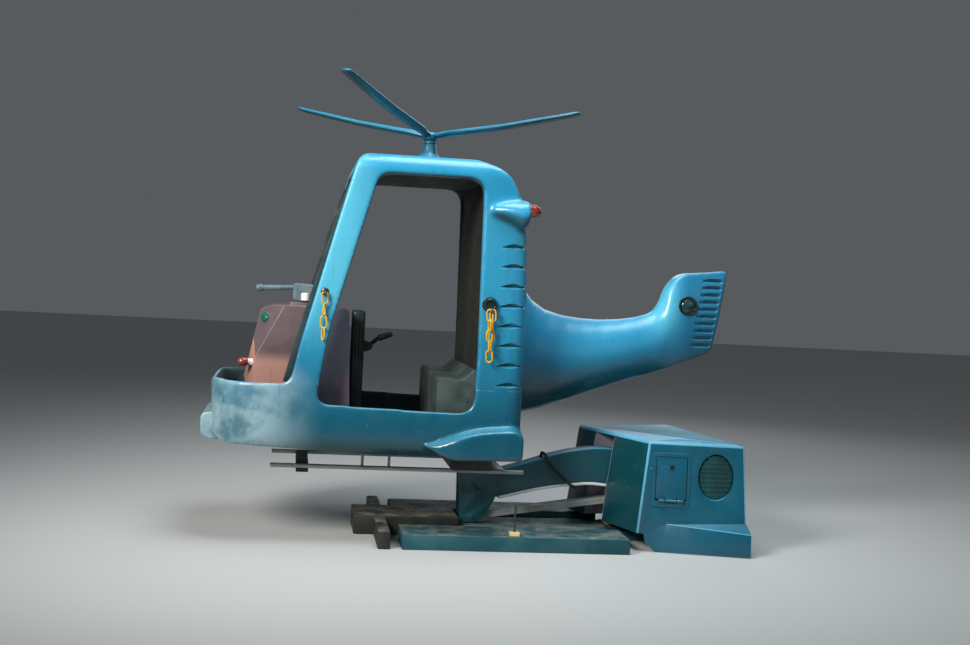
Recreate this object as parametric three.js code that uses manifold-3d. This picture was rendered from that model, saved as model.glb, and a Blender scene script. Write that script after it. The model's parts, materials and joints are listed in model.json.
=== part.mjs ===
// Fairground helicopter ride: a two-seat helicopter car on a lifting arm, with a moulded
// machine cover over the arm's pivot and a low steel base.
// Millimetres. +Z is up, the car's nose points to -X, its left side is -Y.
// The origin is on the ground, on the centreline, a little in front of the middle of the cover.

import * as THREE from "three";
import { ConvexGeometry } from "three/addons/geometries/ConvexGeometry.js";
import { mergeVertices } from "three/addons/utils/BufferGeometryUtils.js";
import Module from "manifold-3d";

const wasm = await Module();
wasm.setup();

// Fits and clearances
const SEAT_GAP = 0.3;
const PIN_GAP = 0.6;
const ROUND_STEPS = 28;

// Car body
const BODY = {
  noseX: -2700, tubRearX: -950, halfWidth: 560, floorZ: 500, noseLiftZ: 552,
  rimZ: 905, splitZ: 897, crownZ: 2232, shoulderZ: 2181, bilgeRadius: 150, shoulderRadius: 90,
  wall: 14, pillarDepth: 70, doorRearX: -1235, ceilingZ: 2077, sillFrontZ: 788, sillRearZ: 762,
  cowlFootZ: 791,
};
const NOSE_CORNER = 330;
const TAIL_CORNER = 130;
const FLOOR = { bottomZ: 572, topZ: 592 };
const FLOOR_TOP = FLOOR.topZ + SEAT_GAP;
const BULKHEAD = { start: 14, end: 22 };

// Console in front of the seat. Its left front corner is cut off by a sloping facet for the button,
// and under that by a narrow facet for the lamp. A low plate on top carries the gun and the knob.
const CONSOLE = {
  halfWidth: 330, topZ: 1314, plateZ: 1330, frontX: -2438,
  buttonPoint: [-2409.5, -266, 1240], buttonNormal: [-0.6605, -0.6725, 0.3346],
  lampPoint: [-2473, -286, 985], lampNormal: [-0.9487, -0.311, 0.0566],
  gunX: -2200, standTopZ: 1336, gunPinRadius: 7,
};

// Lifting arm and the link under it
const ARM_PIVOT = { x: -150, z: 390 };
const HEAD_PIVOT = { x: -1110, z: 250 };
const LINK_OFFSET = { x: -40, z: -150 };
const LINK_PIVOT = { x: ARM_PIVOT.x + LINK_OFFSET.x, z: ARM_PIVOT.z + LINK_OFFSET.z };
const LINK_HEAD = { x: HEAD_PIVOT.x + LINK_OFFSET.x, z: HEAD_PIVOT.z + LINK_OFFSET.z };
const ARM_HALF = 60;
const PIN_RADIUS = 19;
const LINK_PIN_RADIUS = 15;
const OPEN_PIN_GAP = 2;
const CHEEK = { inner: 66, outer: 82 };

// Car carrier
const RAIL = { y: 300, width: 44, bottomZ: 398, topZ: 418, frontX: -2346, rearX: -887 };
const STANDOFF_X = [-1825, -1672];
const STANDOFF_RADIUS = 8;

// Rotor
const ROTOR = { x: -1502, mastTopZ: 2322, hubZ: 2348, bladeLength: 967 };
const BLADES = [
  { name: "rotor_blade_rear", bearing: -35.5, cone: 7.5 },
  { name: "rotor_blade_far", bearing: 144.5, cone: 10.5 },
  { name: "rotor_blade_near", bearing: 234.5, cone: 14.7 },
];

// Raised pads between the eight louvre notches, down both rear corners of the cowl
const PAD = { count: 7, frontX: -1108, topZ: 1698, pitch: 111, height: 85, proud: 6, innerY: 430 };

// Tail
const TAIL = { rootX: BODY.tubRearX, jointX: -80, tipX: 366, hubX: 107, hubZ: 1423, hubRadius: 58 };
const LEDGE = { count: 10, length: 91, half: 9, proud: 4, first: [226, 1583], last: [166, 1188] };

// Machine cover: corners of its foot and of its top, seen from above
const COVER = {
  height: 637, wall: 12,
  foot: [[-245, -484], [402, -572], [236, 560], [-502, 345]],
  top: [[-180, -449], [366, -523.26], [202, 514], [-437, 309]],
};
const SLOT = { nearY: -98, farY: 112, topZ: 618 };
const HATCH = {
  along: 105, up: 296, width: 182, height: 256, thick: 8, gap: 6, hingeUp: 298, hingeOut: 12,
};
const VENT = { along: 453, up: 446, halfWidth: 102, halfHeight: 134 };

// Base
const BASE = {
  spineHalf: 180, spineTop: 60, spineFrontX: -1235, spineRearX: 300,
  restTop: 115, restFrontX: -1852, sideTop: 86, sideInner: 290, sideOuter: 600, tieTop: 40,
  sideFrontX: -1600, sideRearX: -300,
};

const deg = THREE.MathUtils.degToRad;

const PAINT = {
  blue: { color: 0x3f8fb8, roughness: 0.42, metalness: 0.0 },
  steel: { color: 0x3c6f86, roughness: 0.55, metalness: 0.2 },
  dark: { color: 0x23292a, roughness: 0.6, metalness: 0.1 },
  red: { color: 0x9c5a5c, roughness: 0.6, metalness: 0.0 },
  brown: { color: 0x3a2c22, roughness: 0.8, metalness: 0.0 },
  grey: { color: 0x8f9498, roughness: 0.6, metalness: 0.1 },
  pale: { color: 0xa9b3b4, roughness: 0.6, metalness: 0.1 },
  yellow: { color: 0xd3a11f, roughness: 0.5, metalness: 0.0 },
  lampRed: { color: 0xb02a1c, roughness: 0.25, metalness: 0.0 },
  green: { color: 0x0c6b4a, roughness: 0.4, metalness: 0.0 },
  white: { color: 0xe6e8e6, roughness: 0.4, metalness: 0.0 },
  rubber: { color: 0x16181a, roughness: 0.9, metalness: 0.0 },
};

const ride = new THREE.Group();

// Adds one named mesh in the paint given.
function add(name, geometry, paint) {
  const mesh = new THREE.Mesh(geometry, new THREE.MeshStandardMaterial(PAINT[paint]));
  mesh.name = name;
  ride.add(mesh);
  return mesh;
}

// Solids for cutting and joining

function toSolid(geometry) {
  const bare = geometry.clone();
  bare.deleteAttribute("normal");
  bare.deleteAttribute("uv");
  const merged = mergeVertices(bare, 1e-3);
  const position = merged.getAttribute("position");
  return new wasm.Manifold(new wasm.Mesh({
    numProp: 3,
    vertProperties: new Float32Array(position.array),
    triVerts: new Uint32Array(merged.index.array),
  }));
}

function toGeometry(solid) {
  const mesh = solid.getMesh();
  const geometry = new THREE.BufferGeometry();
  geometry.setAttribute("position", new THREE.BufferAttribute(new Float32Array(mesh.vertProperties), 3));
  geometry.setIndex(new THREE.BufferAttribute(new Uint32Array(mesh.triVerts), 1));
  geometry.computeVertexNormals();
  return geometry;
}

function joined(...geometries) {
  return geometries.map(toSolid).reduce((whole, next) => whole.add(next));
}

// Basic shapes, placed in the ride's own frame

function box(x0, x1, y0, y1, z0, z1) {
  return new THREE.BoxGeometry(x1 - x0, y1 - y0, z1 - z0)
    .translate((x0 + x1) / 2, (y0 + y1) / 2, (z0 + z1) / 2);
}

// A closed outline whose corners [u, v, radius] are rounded by a curve.
function outline(corners) {
  const shape = new THREE.Shape();
  const count = corners.length;
  const lineOrMove = (i, point) => {
    const draw = i === 0 ? shape.moveTo : shape.lineTo;
    draw.call(shape, point.x, point.y);
  };
  corners.forEach(([u, v, radius = 0], i) => {
    const here = new THREE.Vector2(u, v);
    const toBefore = new THREE.Vector2(...corners[(i + count - 1) % count].slice(0, 2)).sub(here);
    const toAfter = new THREE.Vector2(...corners[(i + 1) % count].slice(0, 2)).sub(here);
    if (!radius) {
      lineOrMove(i, here);
      return;
    }
    const cut = Math.min(radius, 0.48 * toBefore.length(), 0.48 * toAfter.length());
    const end = here.clone().add(toAfter.setLength(cut));
    lineOrMove(i, here.clone().add(toBefore.setLength(cut)));
    shape.quadraticCurveTo(u, v, end.x, end.y);
  });
  shape.closePath();
  return shape;
}

// Side view (X, Z) drawn out across the car from y0 to y1.
function across(shape, y0, y1, curveSegments = 8) {
  return new THREE.ExtrudeGeometry(shape, { depth: y1 - y0, bevelEnabled: false, curveSegments })
    .rotateX(Math.PI / 2).translate(0, y1, 0);
}

// Plan view (X, Y) drawn up from z0 to z1.
function upward(shape, z0, z1, curveSegments = 8) {
  return new THREE.ExtrudeGeometry(shape, { depth: z1 - z0, bevelEnabled: false, curveSegments })
    .translate(0, 0, z0);
}

// Front view (Y, Z) drawn along the car from x0 to x1.
function along(shape, x0, x1, curveSegments = 8) {
  const turn = new THREE.Matrix4().set(0, 0, 1, 0, 1, 0, 0, 0, 0, 1, 0, 0, 0, 0, 0, 1);
  return new THREE.ExtrudeGeometry(shape, { depth: x1 - x0, bevelEnabled: false, curveSegments })
    .applyMatrix4(turn).translate(x0, 0, 0);
}

// A round bar between two points.
function bar(from, to, radius, endRadius = radius, sides = ROUND_STEPS) {
  const a = new THREE.Vector3(...from);
  const b = new THREE.Vector3(...to);
  const middle = a.clone().add(b).multiplyScalar(0.5);
  const direction = b.clone().sub(a).normalize();
  const turn = new THREE.Quaternion().setFromUnitVectors(new THREE.Vector3(0, 1, 0), direction);
  return new THREE.CylinderGeometry(endRadius, radius, a.distanceTo(b), sides)
    .applyQuaternion(turn).translate(middle.x, middle.y, middle.z);
}

function discAcross(x, z, radius, y0, y1, sides = ROUND_STEPS) {
  return bar([x, y0, z], [x, y1, z], radius, radius, sides);
}

// A tube along a smooth curve.
function tube(points, radius, steps = 24, sides = 8) {
  const curve = new THREE.CatmullRomCurve3(points.map((p) => new THREE.Vector3(...p)));
  const round = new THREE.Shape();
  round.absarc(0, 0, radius, 0, 2 * Math.PI, false);
  return new THREE.ExtrudeGeometry(round, {
    steps, extrudePath: curve, bevelEnabled: false, curveSegments: sides / 2,
  });
}

// An oval-section form along X whose size follows a list of stations.
function hullAlong(stations, sides = 24, squareness = 1.0) {
  const first = stations[0].x;
  const last = stations[stations.length - 1].x;
  const form = new THREE.CylinderGeometry(1, 1, 1, sides, stations.length - 1);
  const position = form.getAttribute("position");
  const rows = stations.length - 1;
  for (let i = 0; i < position.count; i += 1) {
    const row = Math.round((0.5 - position.getY(i)) * rows);
    const station = stations[row];
    const angle = Math.atan2(position.getX(i), position.getZ(i));
    const reach = Math.min(1, Math.hypot(position.getX(i), position.getZ(i)));
    const side = Math.sign(Math.sin(angle)) * Math.abs(Math.sin(angle)) ** squareness;
    const rise = Math.sign(Math.cos(angle)) * Math.abs(Math.cos(angle)) ** squareness;
    position.setXYZ(
      i, station.x, side * reach * station.halfWidth, station.z + rise * reach * station.halfHeight,
    );
  }
  form.computeVertexNormals();
  return last > first ? form : flipped(form);
}

function flipped(geometry) {
  const index = geometry.index.array;
  for (let i = 0; i < index.length; i += 3) {
    const second = index[i + 1];
    index[i + 1] = index[i + 2];
    index[i + 2] = second;
  }
  return geometry;
}

// Copies a left-side (-Y) geometry to the right side.
function mirrored(geometry) {
  const copy = geometry.index ? geometry.clone() : mergeVertices(geometry.clone());
  copy.applyMatrix4(new THREE.Matrix4().makeScale(1, -1, 1));
  return flipped(copy);
}

// Adds a left piece and its mirror image on the right.
function addPair(name, geometry, paint) {
  add(`${name}_left`, geometry, paint);
  add(`${name}_right`, mirrored(geometry), paint);
}

// Car body

// The inner form runs on up past the rim, which leaves the nose open on top.
function bodySide(inset) {
  const b = BODY;
  const rear = b.tubRearX - inset;
  const past = inset > 0 ? 60 : -inset;
  return outline([
    [b.noseX + inset, b.rimZ + past, 40],
    [b.noseX + 32 + inset, b.noseLiftZ + inset, 90],
    [-1700, b.floorZ + inset, 120],
    [rear - 12, b.floorZ + inset, 60],
    [rear, 740, 40],
    [rear - 2, 1400, 60],
    [rear - 32, 1800, 80],
    [-1020 - inset, 1990, 80],
    [-1100 - inset, 2130 - inset, 110],
    [-1300, 2200 - inset, 90],
    [-1500, b.crownZ - inset, 100],
    [-1880, b.crownZ - 32 - inset, 50],
    [-1940 + inset, 2160 - inset, 45],
    [-2028 + inset, 1832, 40],
    [-2153 + inset, 1340, 80],
    [-2208 + inset, 1130, 80],
    [-2258 + inset, b.rimZ - 12 + past, 60],
    [-2440, b.rimZ - 12 + past, 60],
  ]);
}

function bodyPlan(inset) {
  const b = BODY;
  const half = b.halfWidth - inset;
  return outline([
    [b.noseX + inset, -half, NOSE_CORNER - inset],
    [b.tubRearX + 10 - inset, -half, TAIL_CORNER],
    [b.tubRearX + 10 - inset, half, TAIL_CORNER],
    [b.noseX + inset, half, NOSE_CORNER - inset],
  ]);
}

function bodyFront(inset) {
  const b = BODY;
  const half = b.halfWidth - inset;
  const low = b.floorZ + inset;
  return outline([
    [-half, low, b.bilgeRadius],
    [half, low, b.bilgeRadius],
    [half, b.shoulderZ - inset, b.shoulderRadius],
    [0, b.crownZ - inset, 300],
    [-half, b.shoulderZ - inset, b.shoulderRadius],
  ]);
}

// The whole outside of the car, shrunk by the inset given. A negative inset grows it.
function bodyForm(inset = 0) {
  const past = 20;
  const side = toSolid(across(bodySide(inset), -BODY.halfWidth - past, BODY.halfWidth + past));
  const plan = toSolid(upward(bodyPlan(inset), 400, 2400));
  const front = toSolid(along(bodyFront(inset), BODY.noseX - 100, BODY.tubRearX + 200));
  return side.intersect(plan).intersect(front);
}

// The doorway, right through the car.
function doorway() {
  const b = BODY;
  return across(outline([
    [-2112, b.sillFrontZ, 80],
    [-2053, 1199, 60],
    [-1818, b.ceilingZ, 70],
    [b.doorRearX, b.ceilingZ, 100],
    [b.doorRearX + 12, 1069, 60],
    [b.doorRearX, b.sillRearZ, 100],
  ]), -b.halfWidth - 60, b.halfWidth + 60);
}

const outerBody = bodyForm();
const innerBody = bodyForm(BODY.wall);
const bodyCutter = bodyForm(-SEAT_GAP);
const passage = toSolid(doorway());

function slab(z0, z1) {
  return toSolid(box(-3000, 0, -800, 800, z0, z1));
}

function hullTub() {
  return outerBody.intersect(slab(400, BODY.splitZ))
    .subtract(innerBody)
    .subtract(passage)
    .subtract(toSolid(box(BODY.doorRearX, -800, -800, 800, BODY.cowlFootZ - 1, 1200)));
}

function cabinFloor() {
  const shrunk = bodyForm(BODY.wall + SEAT_GAP);
  return shrunk.intersect(slab(FLOOR.bottomZ, FLOOR.topZ))
    .subtract(toSolid(box(BODY.doorRearX - 10, -800, -800, 800, 400, 800)));
}

// A front pillar, with the thin flange for the windscreen along its inner front edge.
function frontPillar() {
  const inner = -BODY.halfWidth + BODY.pillarDepth;
  const low = BODY.splitZ + SEAT_GAP;
  const high = BODY.ceilingZ - SEAT_GAP;
  const strip = toSolid(box(-2300, -1760, -BODY.halfWidth - 10, inner, low, high));
  const forward = toSolid(across(outline([
    [-2330, 880], [-2040, 880], [-2000, 1200], [-1760, 2120], [-2080, 2120],
  ]), -700, 0));
  const flange = toSolid(across(outline([
    [-2296, low], [-2240, 1130, 60], [-2182, 1340, 60], [-2044, 1832], [-1963, high], [-1900, high],
    [-2000, 1832], [-2110, 1340], [-2160, 1130], [-2210, low],
  ]), inner - 14, inner - 2));
  return outerBody.intersect(strip).intersect(forward).subtract(passage).add(flange);
}

function roofShell() {
  const top = toSolid(box(-2100, BODY.doorRearX - SEAT_GAP, -800, 800, BODY.ceilingZ, 2300));
  return outerBody.intersect(top);
}

function rearCowl() {
  const rear = toSolid(box(BODY.doorRearX, -800, -800, 800, BODY.cowlFootZ, 2300));
  return outerBody.intersect(rear)
    .subtract(innerBody.intersect(toSolid(box(-1400, -800, -800, 800, 0, 2180))))
    .subtract(passage)
    .add(cowlPads());
}

// The pads wrap round the rear corners.
function cowlPads() {
  const pad = (i) => {
    const top = PAD.topZ - i * PAD.pitch;
    const block = across(outline([
      [PAD.frontX, top - PAD.height, 18], [-800, top - PAD.height], [-800, top], [PAD.frontX, top, 18],
    ]), -700, -PAD.innerY, 3);
    return [block, mirrored(block)];
  };
  const blocks = Array.from({ length: PAD.count }, (_, i) => pad(i)).flat();
  return bodyForm(-PAD.proud).intersect(joined(...blocks)).subtract(innerBody);
}

function rearBulkhead() {
  const half = BODY.halfWidth - BODY.wall - SEAT_GAP;
  const shrunk = bodyForm(BODY.wall + SEAT_GAP);
  const frontX = BODY.doorRearX + BULKHEAD.start;
  const rearX = BODY.doorRearX + BULKHEAD.end;
  return shrunk.intersect(toSolid(box(frontX, rearX, -half, half, FLOOR.bottomZ, BODY.ceilingZ + 60)));
}

add("hull_tub", toGeometry(hullTub()), "blue");
add("cabin_floor", toGeometry(cabinFloor()), "dark");
addPair("front_pillar", toGeometry(frontPillar()), "blue");
add("roof_shell", toGeometry(roofShell()), "blue");
add("rear_cowl", toGeometry(rearCowl()), "blue");
add("rear_bulkhead", toGeometry(rearBulkhead()), "brown");

// Fairings on the outside of the car

function sponson() {
  const form = across(outline([
    [-1507, 578], [-1333, 668, 60], [-1200, 708, 80], [-1000, 724, 40], [-948, 690, 20], [-950, 514, 20],
    [-1360, 502, 60],
  ]), -BODY.halfWidth - 78, -BODY.halfWidth + 90);
  return toGeometry(toSolid(form).subtract(bodyCutter));
}

function exhaustPod() {
  const form = hullAlong([
    { x: -1190, z: 1908, halfWidth: 12, halfHeight: 12 },
    { x: -1168, z: 1908, halfWidth: 38, halfHeight: 32 },
    { x: -1120, z: 1908, halfWidth: 58, halfHeight: 47 },
    { x: -1070, z: 1902, halfWidth: 76, halfHeight: 62 },
    { x: -1015, z: 1884, halfWidth: 90, halfHeight: 82 },
    { x: -980, z: 1896, halfWidth: 88, halfHeight: 70 },
  ], 20);
  form.translate(0, -BODY.halfWidth + 10, 0);
  return toGeometry(toSolid(form).subtract(bodyCutter));
}

function exhaustLamp() {
  const form = hullAlong([
    { x: -980 + SEAT_GAP, z: 1912, halfWidth: 39, halfHeight: 39 },
    { x: -952, z: 1912, halfWidth: 36, halfHeight: 36 },
    { x: -930, z: 1912, halfWidth: 26, halfHeight: 26 },
    { x: -915, z: 1912, halfWidth: 12, halfHeight: 12 },
  ], 16);
  form.translate(0, -BODY.halfWidth - 28, 0);
  return form;
}

function noseBumper() {
  const form = across(outline([
    [-2750, 694, 44], [-2742, 548, 44], [-2600, 540, 10], [-2600, 702, 10],
  ]), -310, 310);
  return toGeometry(toSolid(form).subtract(bodyCutter));
}

addPair("sponson", sponson(), "blue");
addPair("exhaust_pod", exhaustPod(), "blue");
addPair("exhaust_lamp", exhaustLamp(), "lampRed");
add("nose_bumper", noseBumper(), "blue");

// Tail boom and upswept fin, both hollow mouldings closed at their joints

function tailSections() {
  return [
    { x: TAIL.rootX - 40, z: 1120, halfWidth: 300, halfHeight: 440 },
    { x: -905, z: 1112, halfWidth: 262, halfHeight: 400 },
    { x: -840, z: 1072, halfWidth: 238, halfHeight: 338 },
    { x: -760, z: 1058, halfWidth: 222, halfHeight: 300 },
    { x: -534, z: 1081, halfWidth: 184, halfHeight: 236 },
    { x: -300, z: 1126, halfWidth: 146, halfHeight: 196 },
    { x: -141, z: 1167, halfWidth: 122, halfHeight: 181 },
    { x: TAIL.jointX, z: 1190, halfWidth: 114, halfHeight: 184 },
  ];
}

function tailBoom() {
  return toGeometry(toSolid(hullAlong(tailSections())).subtract(bodyCutter));
}

// Sections of the fin, from its joint with the boom to past its rear edge.
function finSections(grow) {
  const station = (x, lowZ, highZ, halfWidth) => ({
    x, z: (lowZ + highZ) / 2, halfWidth: halfWidth + grow, halfHeight: (highZ - lowZ) / 2,
  });
  return [
    station(TAIL.jointX + SEAT_GAP, 1006, 1374, 114),
    station(-46, 1018, 1420, 112),
    station(-16, 1029, 1502, 110),
    station(8, 1038, 1570, 108),
    station(48, 1053, 1612, 105),
    station(128, 1082, 1624, 98),
    station(200, 1108, 1632, 86),
    station(284, 1138, 1640, 67),
    station(TAIL.tipX + 10, 1170, 1648, 45),
  ];
}

function tailFin() {
  const sides = 36;
  const fullness = 0.62;
  const form = toSolid(hullAlong(finSections(0), sides, fullness));
  const ledges = toSolid(hullAlong(finSections(LEDGE.proud), sides, fullness)).intersect(finLedges());
  const rearEdge = toSolid(across(outline([
    [-400, 900], [240, 900], [284, 1138, 26], [TAIL.tipX, 1650, 22], [-400, 1700],
  ]), -150, 150));
  return toGeometry(form.add(ledges).intersect(rearEdge).subtract(toSolid(finHub(SEAT_GAP, 200))));
}

// Ten short ledges beside the fin's rear edge, on both faces.
function finLedges() {
  const ledge = (i) => {
    const t = i / (LEDGE.count - 1);
    const x = THREE.MathUtils.lerp(LEDGE.first[0], LEDGE.last[0], t);
    const z = THREE.MathUtils.lerp(LEDGE.first[1], LEDGE.last[1], t);
    return box(x, x + LEDGE.length, -140, 140, z - LEDGE.half, z + LEDGE.half);
  };
  return joined(...Array.from({ length: LEDGE.count }, (_, i) => ledge(i)));
}

function finHub(grow, reach) {
  return discAcross(TAIL.hubX, TAIL.hubZ, TAIL.hubRadius + grow, -reach, reach);
}

add("tail_boom", tailBoom(), "blue");
add("tail_fin", tailFin(), "blue");
add("fin_hub", finHub(0, 112), "dark");

// Cockpit

function consoleBox() {
  const top = CONSOLE.topZ;
  const side = toSolid(across(outline([
    [-2520, 900], [CONSOLE.frontX, top - 28, 14], [-2366, top, 14], [-1940, top, 34], [-1910, FLOOR_TOP],
    [-2440, FLOOR_TOP],
  ]), -CONSOLE.halfWidth, CONSOLE.halfWidth));
  const beyond = (point, normal) => {
    const outward = new THREE.Vector3(...normal).normalize();
    const turn = new THREE.Quaternion().setFromUnitVectors(new THREE.Vector3(0, 0, 1), outward);
    return toSolid(new THREE.BoxGeometry(1600, 1600, 600).translate(0, 0, 300)
      .applyQuaternion(turn).translate(...point));
  };
  const plate = box(CONSOLE.gunX - 76, CONSOLE.gunX + 96, -150, 110, top - 4, CONSOLE.plateZ);
  const stand = bar([CONSOLE.gunX, 0, top - 4], [CONSOLE.gunX, 0, CONSOLE.standTopZ], 24, 18, 20);
  const pinRadius = CONSOLE.gunPinRadius;
  const pinTop = CONSOLE.standTopZ + 26;
  const pin = bar([CONSOLE.gunX, 0, top - 4], [CONSOLE.gunX, 0, pinTop], pinRadius, pinRadius, 12);
  return toGeometry(side.subtract(beyond(CONSOLE.buttonPoint, CONSOLE.buttonNormal))
    .subtract(beyond(CONSOLE.lampPoint, CONSOLE.lampNormal)).add(joined(plate, stand, pin)));
}

// Column behind the console, with two ears and a pin for the lever.
function controlColumn() {
  const post = box(-1909, -1836, -120, 120, FLOOR_TOP, 1300);
  const earSide = outline([[-1840, 1056], [-1790, 1070, 10], [-1790, 1110, 10], [-1840, 1124]]);
  const ear = (y0, y1) => across(earSide, y0, y1, 3);
  const pin = discAcross(-1808, 1090, 9, -30, 30, 20);
  return toGeometry(joined(post, ear(-34, -22), ear(22, 34), pin));
}

function controlLever() {
  const shaft = bar([-1800, 0, 1096], [-1742, 0, 1146], 13, 11, 16);
  const grip = bar([-1748, 0, 1140], [-1668, 0, 1168], 20, 15, 16);
  const eye = discAcross(-1808, 1090, 26, -16, 16, 20);
  const bore = toSolid(discAcross(-1808, 1090, 9 + PIN_GAP, -40, 40, 20));
  return toGeometry(joined(shaft, grip, eye).subtract(bore));
}

function gunBody() {
  const low = CONSOLE.standTopZ + PIN_GAP;
  const receiver = across(outline([
    [-2262, low, 8], [-2140, low, 8], [-2126, 1434, 12], [-2262, 1439, 10],
  ]), -27, 27, 3);
  const barrel = bar([-2250, 0, 1416], [-2440, 0, 1404], 15, 15, 16);
  const muzzle = bar([-2430, 0, 1404.6], [-2478, 0, 1401.6], 16, 22, 16);
  const boreRadius = CONSOLE.gunPinRadius + PIN_GAP;
  const bore = bar([CONSOLE.gunX, 0, low - 10], [CONSOLE.gunX, 0, low + 30], boreRadius, boreRadius, 12);
  return toGeometry(joined(receiver, barrel, muzzle).subtract(toSolid(bore)));
}

// A round piece standing out of a panel: from a point on the panel, along its normal, from one height
// above the panel to another.
function standing(point, normal, low, high, radius, endRadius) {
  const out = new THREE.Vector3(...normal).normalize();
  const foot = new THREE.Vector3(...point).addScaledVector(out, low);
  const head = new THREE.Vector3(...point).addScaledVector(out, high);
  return bar(foot.toArray(), head.toArray(), radius, endRadius, 20);
}

function consoleLamp() {
  const { lampPoint, lampNormal } = CONSOLE;
  const collar = standing(lampPoint, lampNormal, SEAT_GAP, 34, 20, 20);
  const bulb = standing(lampPoint, lampNormal, 33, 76, 24.5, 20);
  const tip = standing(lampPoint, lampNormal, 70, 84, 20, 9);
  return toGeometry(joined(collar, bulb, tip));
}

function selectorKnob() {
  const foot = [-2191, -112, CONSOLE.plateZ];
  const up = [0, 0, 1];
  return toGeometry(joined(standing(foot, up, SEAT_GAP, 14, 19, 15), standing(foot, up, 12, 58, 24, 24)));
}

add("console_box", consoleBox(), "red");
add("control_column", controlColumn(), "dark");
add("control_lever", controlLever(), "dark");
add("mock_gun", gunBody(), "grey");
add("console_lamp", consoleLamp(), "lampRed");
add("fire_button", standing(CONSOLE.buttonPoint, CONSOLE.buttonNormal, SEAT_GAP, 18, 32, 29), "green");
add("selector_knob", selectorKnob(), "white");

// Seat

function seatBench() {
  const seatRear = BODY.doorRearX + BULKHEAD.start - SEAT_GAP;
  return across(outline([
    [-1440, FLOOR_TOP], [-1440, 962, 30], [-1300, 950, 20], [-1236, 1010, 20], [seatRear, 1010],
    [seatRear, FLOOR_TOP],
  ]), -520, 520, 4);
}

add("seat_bench", toGeometry(toSolid(seatBench()).intersect(bodyForm(BODY.wall + 1))), "grey");

// Door chains: plastic links on a hook in front and on a round boss behind the doorway

const LINK = { ring: 19, wire: 4.5, stretch: 1.75, pitch: 58 };

function chain(x, y, topZ, links, lean = 0) {
  const ring = (i) => new THREE.TorusGeometry(LINK.ring, LINK.wire, 6, 14)
    .scale(1, LINK.stretch, 1)
    .rotateX(Math.PI / 2)
    .rotateZ(i % 2 ? Math.PI / 2 : 0)
    .translate(x + lean * i, y, topZ - LINK.pitch * i);
  return joined(...Array.from({ length: links }, (_, i) => ring(i)));
}

const SIDE_Y = -BODY.halfWidth;

// Front chain on its hook.
function pillarChain() {
  const x = -2090;
  const outY = SIDE_Y - 30;
  const stem = bar([x, SIDE_Y + 4, 1410], [x, outY - 4, 1410], 7, 7, 12);
  const tip = bar([x, outY, 1404], [x, outY, 1436], 6, 5, 12);
  return toGeometry(joined(stem, tip).subtract(bodyCutter).add(chain(x, outY, 1376, 5)));
}

// Rear chain on its round boss.
function rearChain() {
  const boss = bar([-1172, SIDE_Y + 4, 1380], [-1172, SIDE_Y - 30, 1380], 42, 34, 24);
  const hook = bar([-1166, SIDE_Y - 20, 1362], [-1166, SIDE_Y - 48, 1352], 7, 7, 12);
  return toGeometry(joined(boss, hook).subtract(bodyCutter).add(chain(-1166, SIDE_Y - 46, 1320, 5)));
}

addPair("pillar_chain", pillarChain(), "yellow");
addPair("rear_chain", rearChain(), "yellow");

// Rotor

function rotorMast() {
  const top = ROTOR.mastTopZ;
  const profile = [[0, 2200], [46, 2200], [41, 2250], [33, 2300], [32, top], [0, top]];
  const mast = new THREE.LatheGeometry(profile.map(([r, z]) => new THREE.Vector2(r, z)), ROUND_STEPS)
    .rotateX(Math.PI / 2).translate(ROTOR.x, 0, 0);
  return toGeometry(toSolid(mast).subtract(bodyCutter));
}

function rotorHub() {
  const bottomZ = ROTOR.mastTopZ + SEAT_GAP;
  const profile = [[0, bottomZ], [34, bottomZ], [42, 2336], [42, 2362], [26, 2374], [0, 2376]];
  const hub = new THREE.LatheGeometry(profile.map(([r, z]) => new THREE.Vector2(r, z)), ROUND_STEPS)
    .rotateX(Math.PI / 2).translate(ROTOR.x, 0, 0);
  const seat = (blade) => toSolid(bladeForm(blade, SEAT_GAP));
  return toGeometry(BLADES.reduce((solid, blade) => solid.subtract(seat(blade)), toSolid(hub)));
}

// One blade along its bearing. The fourth blade is lost, so its place stays empty.
function bladeForm({ bearing, cone }, grow = 0) {
  const root = 30 - grow;
  const tip = ROTOR.bladeLength;
  const form = hullAlong([
    { x: root, z: 0, halfWidth: 27 + grow, halfHeight: 17 + grow },
    { x: 120, z: 2, halfWidth: 40 + grow, halfHeight: 19 + grow },
    { x: 500, z: -8, halfWidth: 40 + grow, halfHeight: 17 + grow },
    { x: tip - 60, z: 0, halfWidth: 37 + grow, halfHeight: 14 + grow },
    { x: tip, z: 4, halfWidth: 26 + grow, halfHeight: 9 + grow },
  ], 16, 0.8);
  return form.rotateY(-deg(cone)).rotateZ(deg(bearing)).translate(ROTOR.x, 0, ROTOR.hubZ);
}

add("rotor_mast", rotorMast(), "blue");
add("rotor_hub", rotorHub(), "blue");
BLADES.forEach((blade) => add(blade.name, bladeForm(blade), "blue"));

// Carrier between the arm's head and the car

// A rail with the bolts that hold the hull above it.
function supportRail() {
  const half = RAIL.width / 2;
  const rail = box(RAIL.frontX, RAIL.rearX, -RAIL.y - half, -RAIL.y + half, RAIL.bottomZ, RAIL.topZ);
  const bolt = (x) => bar([x, -RAIL.y, RAIL.topZ - 2], [x, -RAIL.y, BODY.floorZ + 30], STANDOFF_RADIUS,
    STANDOFF_RADIUS, 12);
  return toGeometry(joined(rail, ...STANDOFF_X.map(bolt)).subtract(bodyCutter));
}

// Deep pad under the rear of the hull, across both rails.
function mountingPad() {
  const block = box(-1318, -1082, -360, 360, RAIL.topZ + SEAT_GAP, BODY.floorZ + 10);
  return toGeometry(toSolid(block).subtract(bodyCutter));
}

function carrierCross(x0, x1, bottomZ) {
  const half = RAIL.y - RAIL.width / 2 - SEAT_GAP;
  return box(x0, x1, -half, half, bottomZ, RAIL.topZ);
}

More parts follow.
